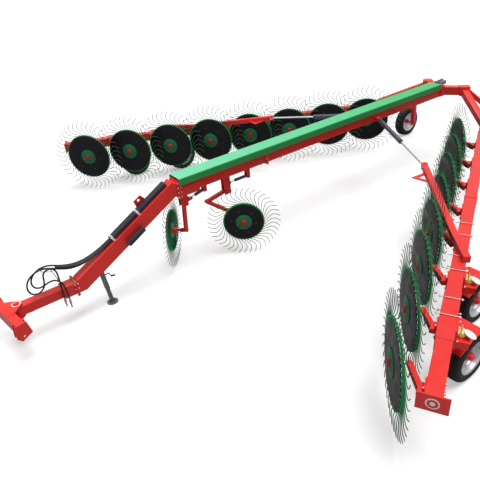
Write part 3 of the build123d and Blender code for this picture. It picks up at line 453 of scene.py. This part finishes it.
# Ground wheels: implement tyres with a blocky tread on silver dished rims, and a
# red hub with five nuts. The dish faces away from the leg that holds the wheel.
TYRE = finish("tyre_rubber", (0.010, 0.010, 0.011), 0.6, shade=0.2, film=0.15, dust=(0.05, 0.047, 0.045),
              fine=90.0, bump=0.15, specular=0.2)
RIM = finish("silver_rim", (0.56, 0.58, 0.62), 0.32, shade=0.05, film=0.06, metallic=0.55, coat=0.2)
TYRE_HALF = 0.095
LUGS_ROUND = 28


def tyre():
    """A tyre about the third axis: a rounded section whose tread drops 9 mm in slanted
    grooves and at the two centre ribs' edges; radius = section - depth x groove."""
    arc = np.array([(0.197, -0.070), (0.205, -0.084), (0.222, -0.0925), (0.245, -0.095), (0.268, -0.091),
                    (0.286, -0.083), (0.2975, -0.074), (0.304, -0.062), (0.3075, -0.048), (0.309, -0.034),
                    (0.3098, -0.022), (0.31, -0.010), (0.31, 0.0)])
    section = np.concatenate([arc, (arc[:-1] * (1, -1))[::-1]])
    inside = np.array([(0.195, 0.060), (0.195, -0.060)])
    count = 216
    turn = np.linspace(0, 2 * np.pi, count, endpoint=False)
    radius, height = section[:, 0], section[:, 1]
    phase = (LUGS_ROUND * turn[None, :] / (2 * np.pi) + 5.0 * np.abs(height[:, None]) / TYRE_HALF
             + 0.5 * (height[:, None] > 0)) % 1.0
    groove = np.clip(1.6 - np.abs(phase - 0.5) * 9.0, 0, 1)
    tread = np.clip((radius - 0.276) / 0.014, 0, 1)
    middle = np.clip(1.5 - np.abs(height) / 0.008, 0, 1)
    depth = 0.009 * tread[:, None] * np.maximum(groove * (1 - middle[:, None]), 0.0)
    depth = np.maximum(depth, 0.007 * (np.abs(np.abs(height) - 0.022) < 0.004)[:, None])
    outer = radius[:, None] - depth
    ring = np.concatenate([outer, np.repeat(inside[:, :1], count, axis=1)])
    level = np.repeat(np.concatenate([height, inside[:, 1]])[:, None], count, axis=1)
    verts = np.stack([ring * np.cos(turn), ring * np.sin(turn), level], axis=-1).reshape(-1, 3)
    return verts, grid_faces(len(ring), count, closed_rows=True)


TYRE_SHAPE = tyre()
RIM_SHAPE = turned([(0.03, 0.010), (0.085, 0.012), (0.092, 0.022), (0.105, 0.026), (0.118, 0.018),
                    (0.135, -0.004), (0.150, -0.010), (0.158, 0.006), (0.163, 0.030), (0.180, 0.044),
                    (0.186, 0.066), (0.200, 0.074), (0.205, 0.080), (0.203, 0.084), (0.196, 0.082),
                    (0.180, 0.076), (0.172, 0.060), (0.172, -0.060), (0.190, -0.070), (0.203, -0.080),
                    (0.204, -0.084), (0.196, -0.083), (0.182, -0.072), (0.162, -0.058), (0.158, -0.030),
                    (0.150, -0.020), (0.090, -0.004), (0.03, -0.004)], 64)


def ground_wheel(node, outward):
    """A tyre, rim and hub on their spin joint, the dish facing along outward (plus or minus Y)."""
    axes = np.array([(1.0, 0, 0), np.cross((0.0, outward, 0.0), (1.0, 0, 0)), (0, outward, 0)])
    hub_shape = turned([(0.01, -0.060), (0.040, -0.060), (0.042, -0.055), (0.042, 0.012), (0.078, 0.014),
                        (0.078, 0.022), (0.044, 0.024), (0.042, 0.060), (0.036, 0.080), (0.028, 0.084),
                        (0.004, 0.085)], 36)
    parts = [(TYRE_SHAPE, TYRE), (RIM_SHAPE, RIM), (hub_shape, RED)]
    for k in range(5):
        a = 2 * np.pi * k / 5
        nut = turned([(0.002, 0.020), (0.012, 0.020), (0.012, 0.034), (0.006, 0.036), (0.006, 0.044),
                      (0.002, 0.045)], 6)
        parts.append(((nut[0] + (0.062 * np.cos(a), 0.062 * np.sin(a), 0.0), nut[1]), BOLT_STEEL))
    valve = tube([(0.168, 0.0, 0.036), (0.160, 0.0, 0.060), (0.158, 0.0, 0.075)], 0.004, 8)
    parts.append((valve, BOLT_STEEL))
    hub = joint_at[node + "_spin"]["pos_m"]
    piece(node + "_dressed", node, [(moved(p, hub, axes), mat) for p, mat in parts], (node,), flat=0.5)


for side, side_name in ((1, "right"), (-1, "left")):
    for node in (f"rear_wheel_{side_name}", f"wing_wheel_{side_name}_rear", f"wing_wheel_{side_name}_front"):
        ground_wheel(node, side)


# Rake arms: square tubes that trail from a saddle on the wing beam to each rake
# wheel's axle. Every saddle has four bolts, and a black spring strut below each
# arm carries part of its wheel's weight.
def bar(start, end, width, height, up=(0.0, 0.0, 1.0), corner=0.006):
    """A rectangular section with rounded corners carried from start to end, height along up."""
    start, end = np.asarray(start, float), np.asarray(end, float)
    along = (end - start) / np.linalg.norm(end - start)
    across = np.cross(up, along)
    across /= np.linalg.norm(across)
    over = np.cross(along, across)
    turn = np.radians([0, 30, 60, 90])
    quarter = corner * np.stack([np.cos(turn), np.sin(turn)], axis=-1)
    ring = np.concatenate([quarter * (1, 1) + (width / 2 - corner, height / 2 - corner),
                           (quarter * (-1, 1) + (corner - width / 2, height / 2 - corner))[::-1],
                           quarter * (-1, -1) + (corner - width / 2, corner - height / 2),
                           (quarter * (1, -1) + (width / 2 - corner, corner - height / 2))[::-1]])
    flat = ring[:, :1] * across + ring[:, 1:] * over
    verts = np.concatenate([start + flat, end + flat])
    count = len(ring)
    return verts, grid_faces(2, count) + [tuple(range(count))[::-1], tuple(range(count, 2 * count))]


def rod(start, end, radius, sides=20):
    """A round bar between two points with its rims broken by a small chamfer."""
    start, end = np.asarray(start, float), np.asarray(end, float)
    along = (end - start) / np.linalg.norm(end - start)
    edge = min(0.15 * radius, 0.002)
    line = [start, start + edge * along, end - edge * along, end]
    return tube(line, np.array([radius - edge, radius, radius, radius - edge]), sides)


def coil(start, end, coil_r, wire_r, turns):
    """A helical spring between two points: centre line plus coil_r around it, turns times."""
    start, end = np.asarray(start, float), np.asarray(end, float)
    _, first, second = frames_along(np.array([start, end]))
    share = np.linspace(0, 1, turns * 14 + 1)
    turn = 2 * np.pi * turns * share
    line = (start + share[:, None] * (end - start) + coil_r * (np.cos(turn)[:, None] * first[0]
            + np.sin(turn)[:, None] * second[0]))
    return tube(line, wire_r, 6)


def bolt(head, toward, size=0.010, tall=0.008, washer=True):
    """A hexagon bolt head that stands on a face at head, pointing along toward."""
    toward = np.asarray(toward, float) / np.linalg.norm(toward)
    side = np.cross(toward, (0.3, 0.2, 0.9))
    side /= np.linalg.norm(side)
    axes = np.array([side, np.cross(toward, side), toward])
    shape = turned([(0.001, 0.0), (size, 0.0), (size, tall * 0.8), (size * 0.85, tall), (0.001, tall)], 6)
    if not washer:
        return [moved(shape, head, axes)]
    ring = turned([(0.001, -0.0005), (size * 1.35, -0.0005), (size * 1.35, 0.002), (0.001, 0.002)], 16)
    return [moved(ring, head, axes), moved(shape, np.asarray(head) + 0.002 * toward, axes)]


SPRING_BLACK = finish("black_spring", (0.014, 0.014, 0.016), 0.4, shade=0.1, film=0.05,
                      dust=(0.1, 0.09, 0.09), specular=0.25)
BEAM_Z = 0.885
BEAM_HALF = 0.075
SLEEVE_HALF = 0.083
SLEEVE_SPAN = (4.65, 5.57)
PITCH_LENGTH = 0.82
ARM_LEAD = 0.33
ARM_SIZE = 0.055
ARM_DROP = 0.020
ARM_END_BACK = 0.150
SADDLE_SIZE = (0.150, 0.012, 0.170)
SPRING_PLACE = 0.70
HUB_OUT = 0.40
UP = np.array((0.0, 0.0, 1.0))


class Wing:
    """Places on one wing: t metres along the beam, d out from its centre line, at height z."""
    def __init__(self, side, side_name):
        self.name, self.body = side_name, "wing_" + side_name
        hubs = np.array([joint_at[f"rake_wheel_{side_name}_{n}_spin"]["pos_m"] for n in range(1, 9)])
        self.hubs = hubs
        self.out = (hubs[7] - hubs[0]) / np.linalg.norm(hubs[7] - hubs[0])
        self.away = side * np.cross(self.out, UP)
        self.back = np.array(joint_at[f"rake_wheel_{side_name}_1_spin"]["axis"])
        self.base = hubs[0] + HUB_OUT * self.away

    def at(self, t, d=0.0, z=BEAM_Z):
        """The point at t along, d out from the beam's line, z up."""
        p = self.base + t * self.out + d * self.away
        return np.array((p[0], p[1], z))


def half_beam(t):
    """Half the width of the wing beam at t, which is more along its sleeve."""
    return SLEEVE_HALF if SLEEVE_SPAN[0] < t < SLEEVE_SPAN[1] else BEAM_HALF


WINGS = [Wing(1, "right"), Wing(-1, "left")]
for wing in WINGS:
    parts = []
    for number, hub in enumerate(wing.hubs):
        t = number * PITCH_LENGTH + ARM_LEAD
        face = half_beam(t)
        start = wing.at(t, -(face + 0.0398), BEAM_Z - ARM_DROP)
        end = hub + ARM_END_BACK * wing.back
        parts.append((bar(start, end, ARM_SIZE, ARM_SIZE), RED))
        parts.append((rod(end + 0.012 * wing.back, hub + 0.012 * wing.back, 0.018), RED))
        parts.append((rod(hub + 0.098 * wing.back, hub + 0.108 * wing.back, 0.030), BOLT_STEEL))
        plate = wing.at(t, -(face + 0.0063), BEAM_Z - ARM_DROP)
        parts.append((block(plate, SADDLE_SIZE, np.array([wing.out, wing.away, UP])), RED))
        knuckle = bar(start - 0.06 * wing.out, start + 0.06 * wing.out, ARM_SIZE, ARM_SIZE, corner=0.012)
        parts.append((knuckle, RED))
        low = start - 0.058 * UP + 0.005 * wing.away
        high = start + SPRING_PLACE * (end - start) - 0.036 * UP
        run = high - low
        parts.append((rod(low, high, 0.009), SPRING_BLACK))
        parts.append((coil(low + 0.12 * run, low + 0.80 * run, 0.019, 0.0048, 15), SPRING_BLACK))
        for share in (0.10, 0.82):
            parts.append((rod(low + (share - 0.012) * run, low + (share + 0.012) * run, 0.024), SPRING_BLACK))
        lug_mid = start + SPRING_PLACE * (end - start) - 0.028 * UP
        parts.append((bar(lug_mid - 0.03 * wing.out, lug_mid + 0.03 * wing.out, 0.03, 0.03), RED))
        for shift in (-0.055, 0.055):
            for level in (-0.085, 0.062):
                spot = wing.at(t + shift, -(face + 0.0123), BEAM_Z + level)
                parts += [(p, BOLT_STEEL) for p in bolt(spot, -wing.away, 0.009)]
    node = "rake_arms_" + wing.name
    piece(node + "_dressed", wing.body, parts, (node,), flat=0.5)


# Clamps of the wing beams: bright tie rods with nuts, laid over and under the
# beam and drawn up between the plates of the arms, the lever and the wheel boxes.
CLAMP_PLACES = (3.27, 3.57, 4.05, 4.34, 4.87, 5.15)
for wing in WINGS:
    parts = []
    for t in CLAMP_PLACES:
        half = half_beam(t)
        for level in (BEAM_Z + half + 0.008, BEAM_Z - half - 0.008):
            inner, outer = wing.at(t, -half - 0.045, level), wing.at(t, half + 0.030, level)
            parts.append((rod(inner, outer, 0.0055, 12), BOLT_STEEL))
            for across, way in ((-half - 0.026, -wing.away), (half + 0.012, wing.away)):
                spot = wing.at(t, across, level)
                parts += [(p, BOLT_STEEL) for p in bolt(spot, way, 0.0125, 0.011)]
    piece(f"beam_clamps_{wing.name}", wing.body, parts, flat=0.5)


# Fittings of the wheel boxes: on each box a yellow round cap, a bright pin and a
# blank white oval plate, and a group of nuts on the cheek against the beam.
CAP_YELLOW = finish("yellow_cap", (0.80, 0.70, 0.16), 0.4, shade=0.05, film=0.08, specular=0.3)
PLATE_WHITE = finish("blank_white_plate", (0.80, 0.80, 0.80), 0.35, shade=0.03, film=0.08, specular=0.3)
BOX_PLACES = (4.36, 5.25)
BOX_LID = 0.0197
BOX_CAP = turned([(0.004, -0.002), (0.036, -0.002), (0.036, 0.018), (0.046, 0.022), (0.047, 0.052),
                  (0.042, 0.064), (0.024, 0.074), (0.004, 0.075)], 32)
ROUND_PLATE = turned([(0.002, 0.0), (0.98, 0.0), (1.0, 0.001), (1.0, 0.004), (0.98, 0.005), (0.002, 0.005)], 40)
OVAL_PLATE = (ROUND_PLATE[0] * (0.050, 0.066, 1.0), ROUND_PLATE[1])
OVAL_TILT = np.radians(28)


def box_fittings(wing, box_t):
    """The cap with its pins, the tilted oval on its stalk and six nuts of the box at box_t."""
    half = half_beam(box_t)
    top = BEAM_Z - half + BOX_LID
    cap_t, cap_d, plate_t = box_t - 0.022, half + 0.052, box_t - 0.01
    lean = np.cos(OVAL_TILT) * UP + np.sin(OVAL_TILT) * wing.away
    upright = np.array([wing.out, wing.away, UP])
    tilted = np.array([wing.out, np.cross(lean, wing.out), lean])
    spigot = rod(wing.at(cap_t, cap_d, top + 0.072), wing.at(cap_t, cap_d, top + 0.104), 0.009)
    cross_pin = rod(wing.at(box_t - 0.07, cap_d, top + 0.094), wing.at(box_t + 0.03, cap_d, top + 0.094), 0.005)
    stalk = rod(wing.at(plate_t, half + 0.112, top - 0.002), wing.at(plate_t, half + 0.126, top + 0.047), 0.014)
    oval = moved(OVAL_PLATE, wing.at(plate_t, half + 0.128, top + 0.046), tilted)
    parts = [(moved(BOX_CAP, wing.at(cap_t, cap_d, top), upright), CAP_YELLOW), (spigot, BOLT_STEEL),
             (cross_pin, BOLT_STEEL), (oval, PLATE_WHITE), (stalk, BOLT_STEEL)]
    for shift in (-0.085, 0.0, 0.085):
        for level in (-0.05, 0.05):
            spot = wing.at(box_t + shift, half + 0.0203, BEAM_Z + level)
            parts += [(p, BOLT_STEEL) for p in bolt(spot, wing.away, 0.0105, 0.012)]
    return parts


for wing in WINGS:
    parts = [part for box_t in BOX_PLACES for part in box_fittings(wing, box_t)]
    piece(f"box_fittings_{wing.name}", wing.body, parts, flat=0.5)


# Nuts of the arms: four on the outer cheek of the wing beam behind every rake arm,
# but for the two arms that share their place with a wheel box.
for wing in WINGS:
    parts = []
    for t in np.arange(len(wing.hubs)) * PITCH_LENGTH + ARM_LEAD:
        if min(abs(t - box_t) for box_t in BOX_PLACES) < 0.15:
            continue
        for shift in (-0.055, 0.055):
            for level in (-0.05, 0.05):
                spot = wing.at(t + shift, half_beam(t), BEAM_Z + level)
                parts += [(p, BOLT_STEEL) for p in bolt(spot, wing.away, 0.0105, 0.011)]
    piece(f"arm_nuts_{wing.name}", wing.body, parts, flat=0.5)


# Blank round plates: a white ring with a red field on the end plate of each wing
# beam, and another round the upright pin of the hitch head. They carry no sign.
END_PLATE_FACE = 6.214
HITCH_PIN_X = -4.543
CROSSHEAD_TOP = 0.592


def ring_plate(name, body, centre, axes, hole=False):
    """A white disc, a red field on it and, where there is no hole, a small white centre."""
    parts = [(turned([(0.002, 0.0), (0.058, 0.0), (0.058, 0.002), (0.002, 0.002)], 48), PLATE_WHITE),
             (turned([(0.002, 0.0015), (0.046, 0.0015), (0.046, 0.003), (0.002, 0.003)], 48), RED)]
    if not hole:
        dot = turned([(0.002, 0.0025), (0.022, 0.0025), (0.022, 0.004), (0.002, 0.004)], 32)
        parts.append((dot, PLATE_WHITE))
    piece(name, body, [(moved(p, centre, axes), mat) for p, mat in parts], flat=0.5)


for wing in WINGS:
    outward = np.array([UP, np.cross(wing.out, UP), wing.out])
    ring_plate(f"end_plate_ring_{wing.name}", wing.body, wing.at(END_PLATE_FACE), outward)
ring_plate("hitch_ring", "hitch_head", (HITCH_PIN_X, 0.0, CROSSHEAD_TOP), np.eye(3), hole=True)


# Flange bolts of the main beam: two rows at the joint with the slope and two at
# the joint halfway, with a hexagon on both faces of every flange pair.
SLOPE_FLANGE_FACES = ((-2.1193, -1.0), (-2.087, 1.0))
MIDDLE_FLANGE_FACES = ((-0.553, -1.0), (-0.521, 1.0))


def bolt_rows(columns, levels, faces, size, tall, washer=True):
    """Bolts at each column (Y) and level (Z) on faces given by their X and the way they look."""
    return [(p, BOLT_STEEL) for y in columns for z in levels for x, way in faces
            for p in bolt((x, y, z), (way, 0, 0), size, tall, washer)]


flange_bolts = bolt_rows((-0.108, 0.108), (1.225, 1.295, 1.365, 1.435), SLOPE_FLANGE_FACES, 0.0105, 0.011)
flange_bolts += bolt_rows((-0.1105, 0.1105), (1.245, 1.31, 1.375, 1.44), MIDDLE_FLANGE_FACES, 0.008, 0.009,
                          washer=False)
piece("flange_bolts", "frame", flange_bolts, flat=0.5)


# Hydraulic rams: dark blue-grey painted barrels and bright chromed rods, two
# that fold the wings and two small ones that lift the centre wheels.
RAM_PAINT = finish("ram_dark_paint", (0.045, 0.055, 0.085), 0.34, shade=0.08, film=0.08, coat=0.15)
CHROME = finish("chromed_rod", (0.74, 0.75, 0.78), 0.12, shade=0.03, film=0.02, metallic=1.0, bump=0.01)
for stem in ("wing_ram", "kicker_ram"):
    for end_name in (("left", "right") if stem == "wing_ram" else ("front", "rear")):
        dressed(f"{stem}_{end_name}", RAM_PAINT, 0.0015, flat=0.9)
        dressed(f"{stem}_rod_{end_name}", CHROME, 0.001, flat=0.9)


# Parking jack: a grey-green square tube under the slope, with its inner leg on a
# round foot and a crank handle that points to the rear.
GALVANISED = finish("galvanised_steel", (0.12, 0.14, 0.13), 0.4, shade=0.15, film=0.2, metallic=0.5,
                    broad=30.0, fine=70.0)
JACK_BRACKET_Z = 0.60
JACK_FOOT_X = -3.373
JACK_LEAN = np.radians(5.0)
dressed("jack_tube", GALVANISED, 0.002, accent=RED, above=JACK_BRACKET_Z)
dressed("jack_leg", GALVANISED, 0.002)


def jack_place(z, rear):
    """A point at height z, that far to the rear of the jack's leaning axis."""
    return np.array((JACK_FOOT_X - z * np.tan(JACK_LEAN) + rear, 0.0, z))


handle = [(rod(jack_place(0.47, 0.028), jack_place(0.47, 0.095), 0.009, 12), GALVANISED),
          (rod(jack_place(0.475, 0.09), jack_place(0.41, 0.115), 0.007, 12), GALVANISED),
          (rod(jack_place(0.414, 0.105), jack_place(0.402, 0.165), 0.012, 14), SPRING_BLACK)]
piece("jack_handle", "frame", handle, flat=0.5)


# Hose guard on the slope and the document tube beside it: black moulded plastic,
# with white straps round the guard.
PLASTIC = finish("black_plastic", (0.030, 0.022, 0.034), 0.45, shade=0.15, film=0.08,
                 dust=(0.12, 0.10, 0.12), bump=0.12, specular=0.22)
STRAP_WHITE = finish("strap_white", (0.78, 0.78, 0.8), 0.5, shade=0.04, film=0.1)
SLOPE_TOP = np.array((-2.153, 0.0, 1.370))
SLOPE_LOW = np.array((-3.723, 0.0, 0.510))
SLOPE_RUN = (SLOPE_LOW - SLOPE_TOP) / np.linalg.norm(SLOPE_LOW - SLOPE_TOP)
SLOPE_LIFT = np.cross((0.0, 1.0, 0.0), SLOPE_RUN)
GUARD_LIFT = 0.1318
STRAP_SHARES = (0.335, 0.60)
STRAP_WIDE = 0.030
STRAP_THICK = 0.003
dressed("hose_guard", PLASTIC, 0.012, 3)
dressed("document_tube", PLASTIC, 0.006, 3)
straps = []
axes = np.array([SLOPE_RUN, (0.0, 1.0, 0.0), SLOPE_LIFT])
for share in STRAP_SHARES:
    mid = SLOPE_TOP + share * (SLOPE_LOW - SLOPE_TOP) + GUARD_LIFT * SLOPE_LIFT
    straps.append((block(mid + 0.030 * SLOPE_LIFT, (STRAP_WIDE, 0.112, STRAP_THICK), axes), STRAP_WHITE))
    for y in (-0.054, 0.054):
        side_mid = mid + np.array((0.0, y, 0.0)) - 0.001 * SLOPE_LIFT
        straps.append((block(side_mid, (STRAP_WIDE, STRAP_THICK, 0.062), axes), STRAP_WHITE))
    buckle_mid = mid + 0.034 * SLOPE_LIFT + np.array((0.0, -0.02, 0.0))
    straps.append((block(buckle_mid, (0.020, 0.034, 0.007), axes), BOLT_STEEL))
piece("guard_straps", "frame", straps, width=0.001)


# Valve block behind the cover: a block of grey-purple passivated steel with its
# ports, at the rear end of the main beam.
VALVE = finish("valve_grey", (0.22, 0.21, 0.3), 0.35, shade=0.1, film=0.08, metallic=0.5)
dressed("valve_block", VALVE, 0.003)


# Lower drawbar tube: red square tube with its bolted plate, and the green wire
# rack that the supply hoses lie over.
RACK_ABOVE = 0.605
PLATE_FACES = ((-3.7830, 1.0), (-3.8153, -1.0))
dressed("drawbar_tube", RED, 0.002, accent=WHEEL_GREEN, above=RACK_ABOVE)
plate_bolts = bolt_rows((-0.098, 0.098), (0.43, 0.50, 0.57), PLATE_FACES, 0.011, 0.010)
piece("plate_bolts", "frame", plate_bolts, flat=0.5)


# Supply hoses: two rubber hoses that leave the guard, hang over the wire rack and
# end in plug-in couplings beside the drawbar.
HOSE_RUBBER = finish("hose_rubber", (0.012, 0.012, 0.015), 0.45, shade=0.15, film=0.1,
                     dust=(0.08, 0.075, 0.07), bump=0.2, fine=400.0, specular=0.3)
COUPLING_STEEL = finish("coupling_steel", (0.42, 0.42, 0.45), 0.32, shade=0.1, film=0.08, metallic=0.85)
HOSE_DIAMETER = 0.022
ROUTES = {
    "left": ((-3189.8, -24, 951.6), (-3293, -24, 895), (-3456, -26, 828), (-3630, -30, 780), (-3793, -34, 790),
             (-3933, -36, 850), (-4043, -36, 915), (-4153, -36, 944), (-4263, -38, 915), (-4343, -42, 845),
             (-4371, -50, 750), (-4341, -60, 665), (-4253, -70, 640), (-4178, -78, 700), (-4153, -84, 800),
             (-4148, -88, 890), (-4100, -94, 938), (-4032, -104, 938), (-3987, -114, 890), (-3983, -122, 800),
             (-3989, -124, 680), (-3993, -124, 560), (-3995, -125, 450)),
    "right": ((-3189.8, 24, 951.6), (-3293, 24, 895), (-3456, 24, 835), (-3619, 22, 800), (-3770, 20, 810),
              (-3910, 16, 865), (-4023, 8, 928), (-4133, 0, 946), (-4233, -4, 905), (-4295, -10, 825),
              (-4295, -16, 735), (-4233, -22, 685), (-4155, -34, 705), (-4093, -78, 755), (-4023, -132, 775),
              (-3963, -156, 705), (-3949, -160, 600), (-3946, -160, 510), (-3945, -160, 430)),
}


def route_object(name, route):
    """A curve object through a route's control points (mm), second degree, meeting both ends."""
    curve = bpy.data.curves.new(name, "CURVE")
    curve.dimensions = "3D"
    spline = curve.splines.new("NURBS")
    spline.points.add(len(route) - 1)
    spline.points.foreach_set("co", [c for x, y, z in route for c in (x / 1000, y / 1000, z / 1000, 1.0)])
    spline.order_u = 3
    spline.use_endpoint_u = True
    spline.resolution_u = 8
    return bpy.data.objects.new(name, curve)


FERRULE = turned([(0.004, -0.030), (0.0125, -0.030), (0.0135, -0.026), (0.0135, 0.004), (0.010, 0.006),
                  (0.004, 0.006)], 20)
HEXAGON = turned([(0.004, 0.006), (0.0165, 0.007), (0.0165, 0.030), (0.004, 0.031)], 6)
PLUG = turned([(0.004, 0.031), (0.014, 0.032), (0.0155, 0.036), (0.0155, 0.058), (0.014, 0.062),
               (0.010, 0.076), (0.010, 0.112), (0.008, 0.118), (0.004, 0.119)], 24)
DOWNWARD = np.array([(1.0, 0, 0), (0, -1.0, 0), (0, 0, -1.0)])
for side_name, route in ROUTES.items():
    end = np.array(route[-1]) / 1000
    coupling = piece(f"hose_coupling_{side_name}", "frame",
                     [(moved(p, end, DOWNWARD), COUPLING_STEEL) for p in (FERRULE, HEXAGON, PLUG)],
                     ("hose_couplings",))
    hose = route_object(f"supply_hose_{side_name}", route)
    hose.data.bevel_depth = HOSE_DIAMETER / 2
    hose.data.bevel_resolution = 4
    hose.data.use_fill_caps = True
    hose.data.materials.append(HOSE_RUBBER)
    bpy.context.scene.collection.objects.link(hose)
    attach(hose, "frame")
    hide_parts(f"hose_{side_name}")


# Hose jacket: a flat woven sleeve that holds the two hoses together from the guard
# to the rack. Its first and last points stand twice, which keeps its ends straight.
JACKET_ROUTE = ((-3205, 0, 943), (-3205, 0, 943), (-3293, 0, 898), (-3400, -1, 853), (-3520, -2, 818),
                (-3640, -5, 801), (-3760, -8, 812), (-3870, -12, 846), (-3960, -14, 888), (-3960, -14, 888))
JACKET_HALF = (0.019, 0.044, 0.019)
JACKET_SIDES = 20
guide = route_object("hose_jacket_line", JACKET_ROUTE)
guide_curve = guide.data
guide_mesh = bpy.data.meshes.new_from_object(guide)
jacket_line = np.array([vertex.co for vertex in guide_mesh.vertices])
bpy.data.objects.remove(guide)
bpy.data.curves.remove(guide_curve)
bpy.data.meshes.remove(guide_mesh)
round_jacket, jacket_faces = tube(jacket_line, 1.0, JACKET_SIDES)
middle = np.repeat(jacket_line, JACKET_SIDES, axis=0)
jacket = (middle + (round_jacket - middle) * JACKET_HALF, jacket_faces)
piece("hose_jacket", "frame", [(jacket, HOSE_RUBBER)], flat=1.0)


# Floor and studio: a plain white floor that keeps a soft shadow, a white world, one
# broad lamp overhead and the camera where the photograph was taken from.
FLOOR_HALF = 80.0
SHADOW_LIFT = 0.32
LAMP_STRENGTH = 3.0
WORLD_STRENGTH = 0.28
floor_mesh = bpy.data.meshes.new("floor")
floor_corners = [(-FLOOR_HALF, -FLOOR_HALF, -0.0005), (FLOOR_HALF, -FLOOR_HALF, -0.0005),
                 (FLOOR_HALF, FLOOR_HALF, -0.0005), (-FLOOR_HALF, FLOOR_HALF, -0.0005)]
floor_mesh.from_pydata(floor_corners, [], [(0, 1, 2, 3)])
floor = bpy.data.objects.new("floor", floor_mesh)
bpy.context.scene.collection.objects.link(floor)
floor_mat = bpy.data.materials.new("pale_floor")
floor_mat.use_nodes = True
floor_tree = floor_mat.node_tree
floor_tree.nodes.clear()
seen = add(floor_tree, "LightPath").outputs["Is Camera Ray"]
floor_tone = add(floor_tree, "Math", [(0, seen), (1, 0.45), (2, 0.45)], operation="MULTIPLY_ADD")
matt = add(floor_tree, "BsdfDiffuse", [("Color", floor_tone.outputs[0])])
plain = add(floor_tree, "Emission", [("Color", (1, 1, 1, 1)), ("Strength", 1.4)])
lifted = add(floor_tree, "Math", [(0, seen), (1, SHADOW_LIFT)], operation="MULTIPLY")
mix = add(floor_tree, "MixShader", [(0, lifted.outputs[0]), (1, matt.outputs[0]), (2, plain.outputs[0])])
surface = floor_tree.nodes.new("ShaderNodeOutputMaterial")
floor_tree.links.new(mix.outputs[0], surface.inputs["Surface"])
floor_mesh.materials.append(floor_mat)

world = bpy.data.worlds.new("studio")
bpy.context.scene.world = world
world.use_nodes = True
world_tree = world.node_tree
world_tree.nodes.clear()
rays = add(world_tree, "LightPath").outputs
direct = add(world_tree, "Math", [(0, rays["Is Camera Ray"]), (1, rays["Is Glossy Ray"])], operation="MAXIMUM")
shown = add(world_tree, "Math", [(0, direct.outputs[0]), (1, rays["Is Transmission Ray"])], operation="MAXIMUM")
dim = add(world_tree, "Background", [("Color", (1, 1, 1, 1)), ("Strength", WORLD_STRENGTH)])
bright = add(world_tree, "Background", [("Color", (1, 1, 1, 1)), ("Strength", 1.0)])
world_mix = add(world_tree, "MixShader", [(0, shown.outputs[0]), (1, dim.outputs[0]), (2, bright.outputs[0])])
world_out = world_tree.nodes.new("ShaderNodeOutputWorld")
world_tree.links.new(world_mix.outputs[0], world_out.inputs["Surface"])

lamp_data = bpy.data.lights.new("sky_lamp", "SUN")
lamp_data.energy = LAMP_STRENGTH
lamp_data.angle = 0.6
lamp = bpy.data.objects.new("sky_lamp", lamp_data)
bpy.context.scene.collection.objects.link(lamp)
lamp.rotation_euler = (0.16, 0.08, 0.0)

CAMERA_AT = (-4.9553, -5.7918, 4.2614)
YAW, PITCH, ROLL = 0.5852, 0.5450, -0.0999
FOCAL_PIXELS, FRAME_PIXELS = 499.94, 480.0
forward = np.array([np.sin(YAW) * np.cos(PITCH), np.cos(YAW) * np.cos(PITCH), -np.sin(PITCH)])
level_right = np.array([np.cos(YAW), -np.sin(YAW), 0.0])
level_up = np.cross(level_right, forward)
right = np.cos(ROLL) * level_right + np.sin(ROLL) * level_up
upward = -np.sin(ROLL) * level_right + np.cos(ROLL) * level_up
camera_data = bpy.data.cameras.new("camera")
camera_data.sensor_width = 36.0
camera_data.lens = FOCAL_PIXELS / FRAME_PIXELS * 36.0
camera_data.clip_end = 300.0
camera = bpy.data.objects.new("camera", camera_data)
bpy.context.scene.collection.objects.link(camera)
place = np.eye(4)
place[:3, 0], place[:3, 1], place[:3, 2] = right, upward, -forward
place[:3, 3] = CAMERA_AT
camera.matrix_world = Matrix(place.tolist())
bpy.context.scene.camera = camera

bpy.context.scene.view_settings.view_transform = "Standard"
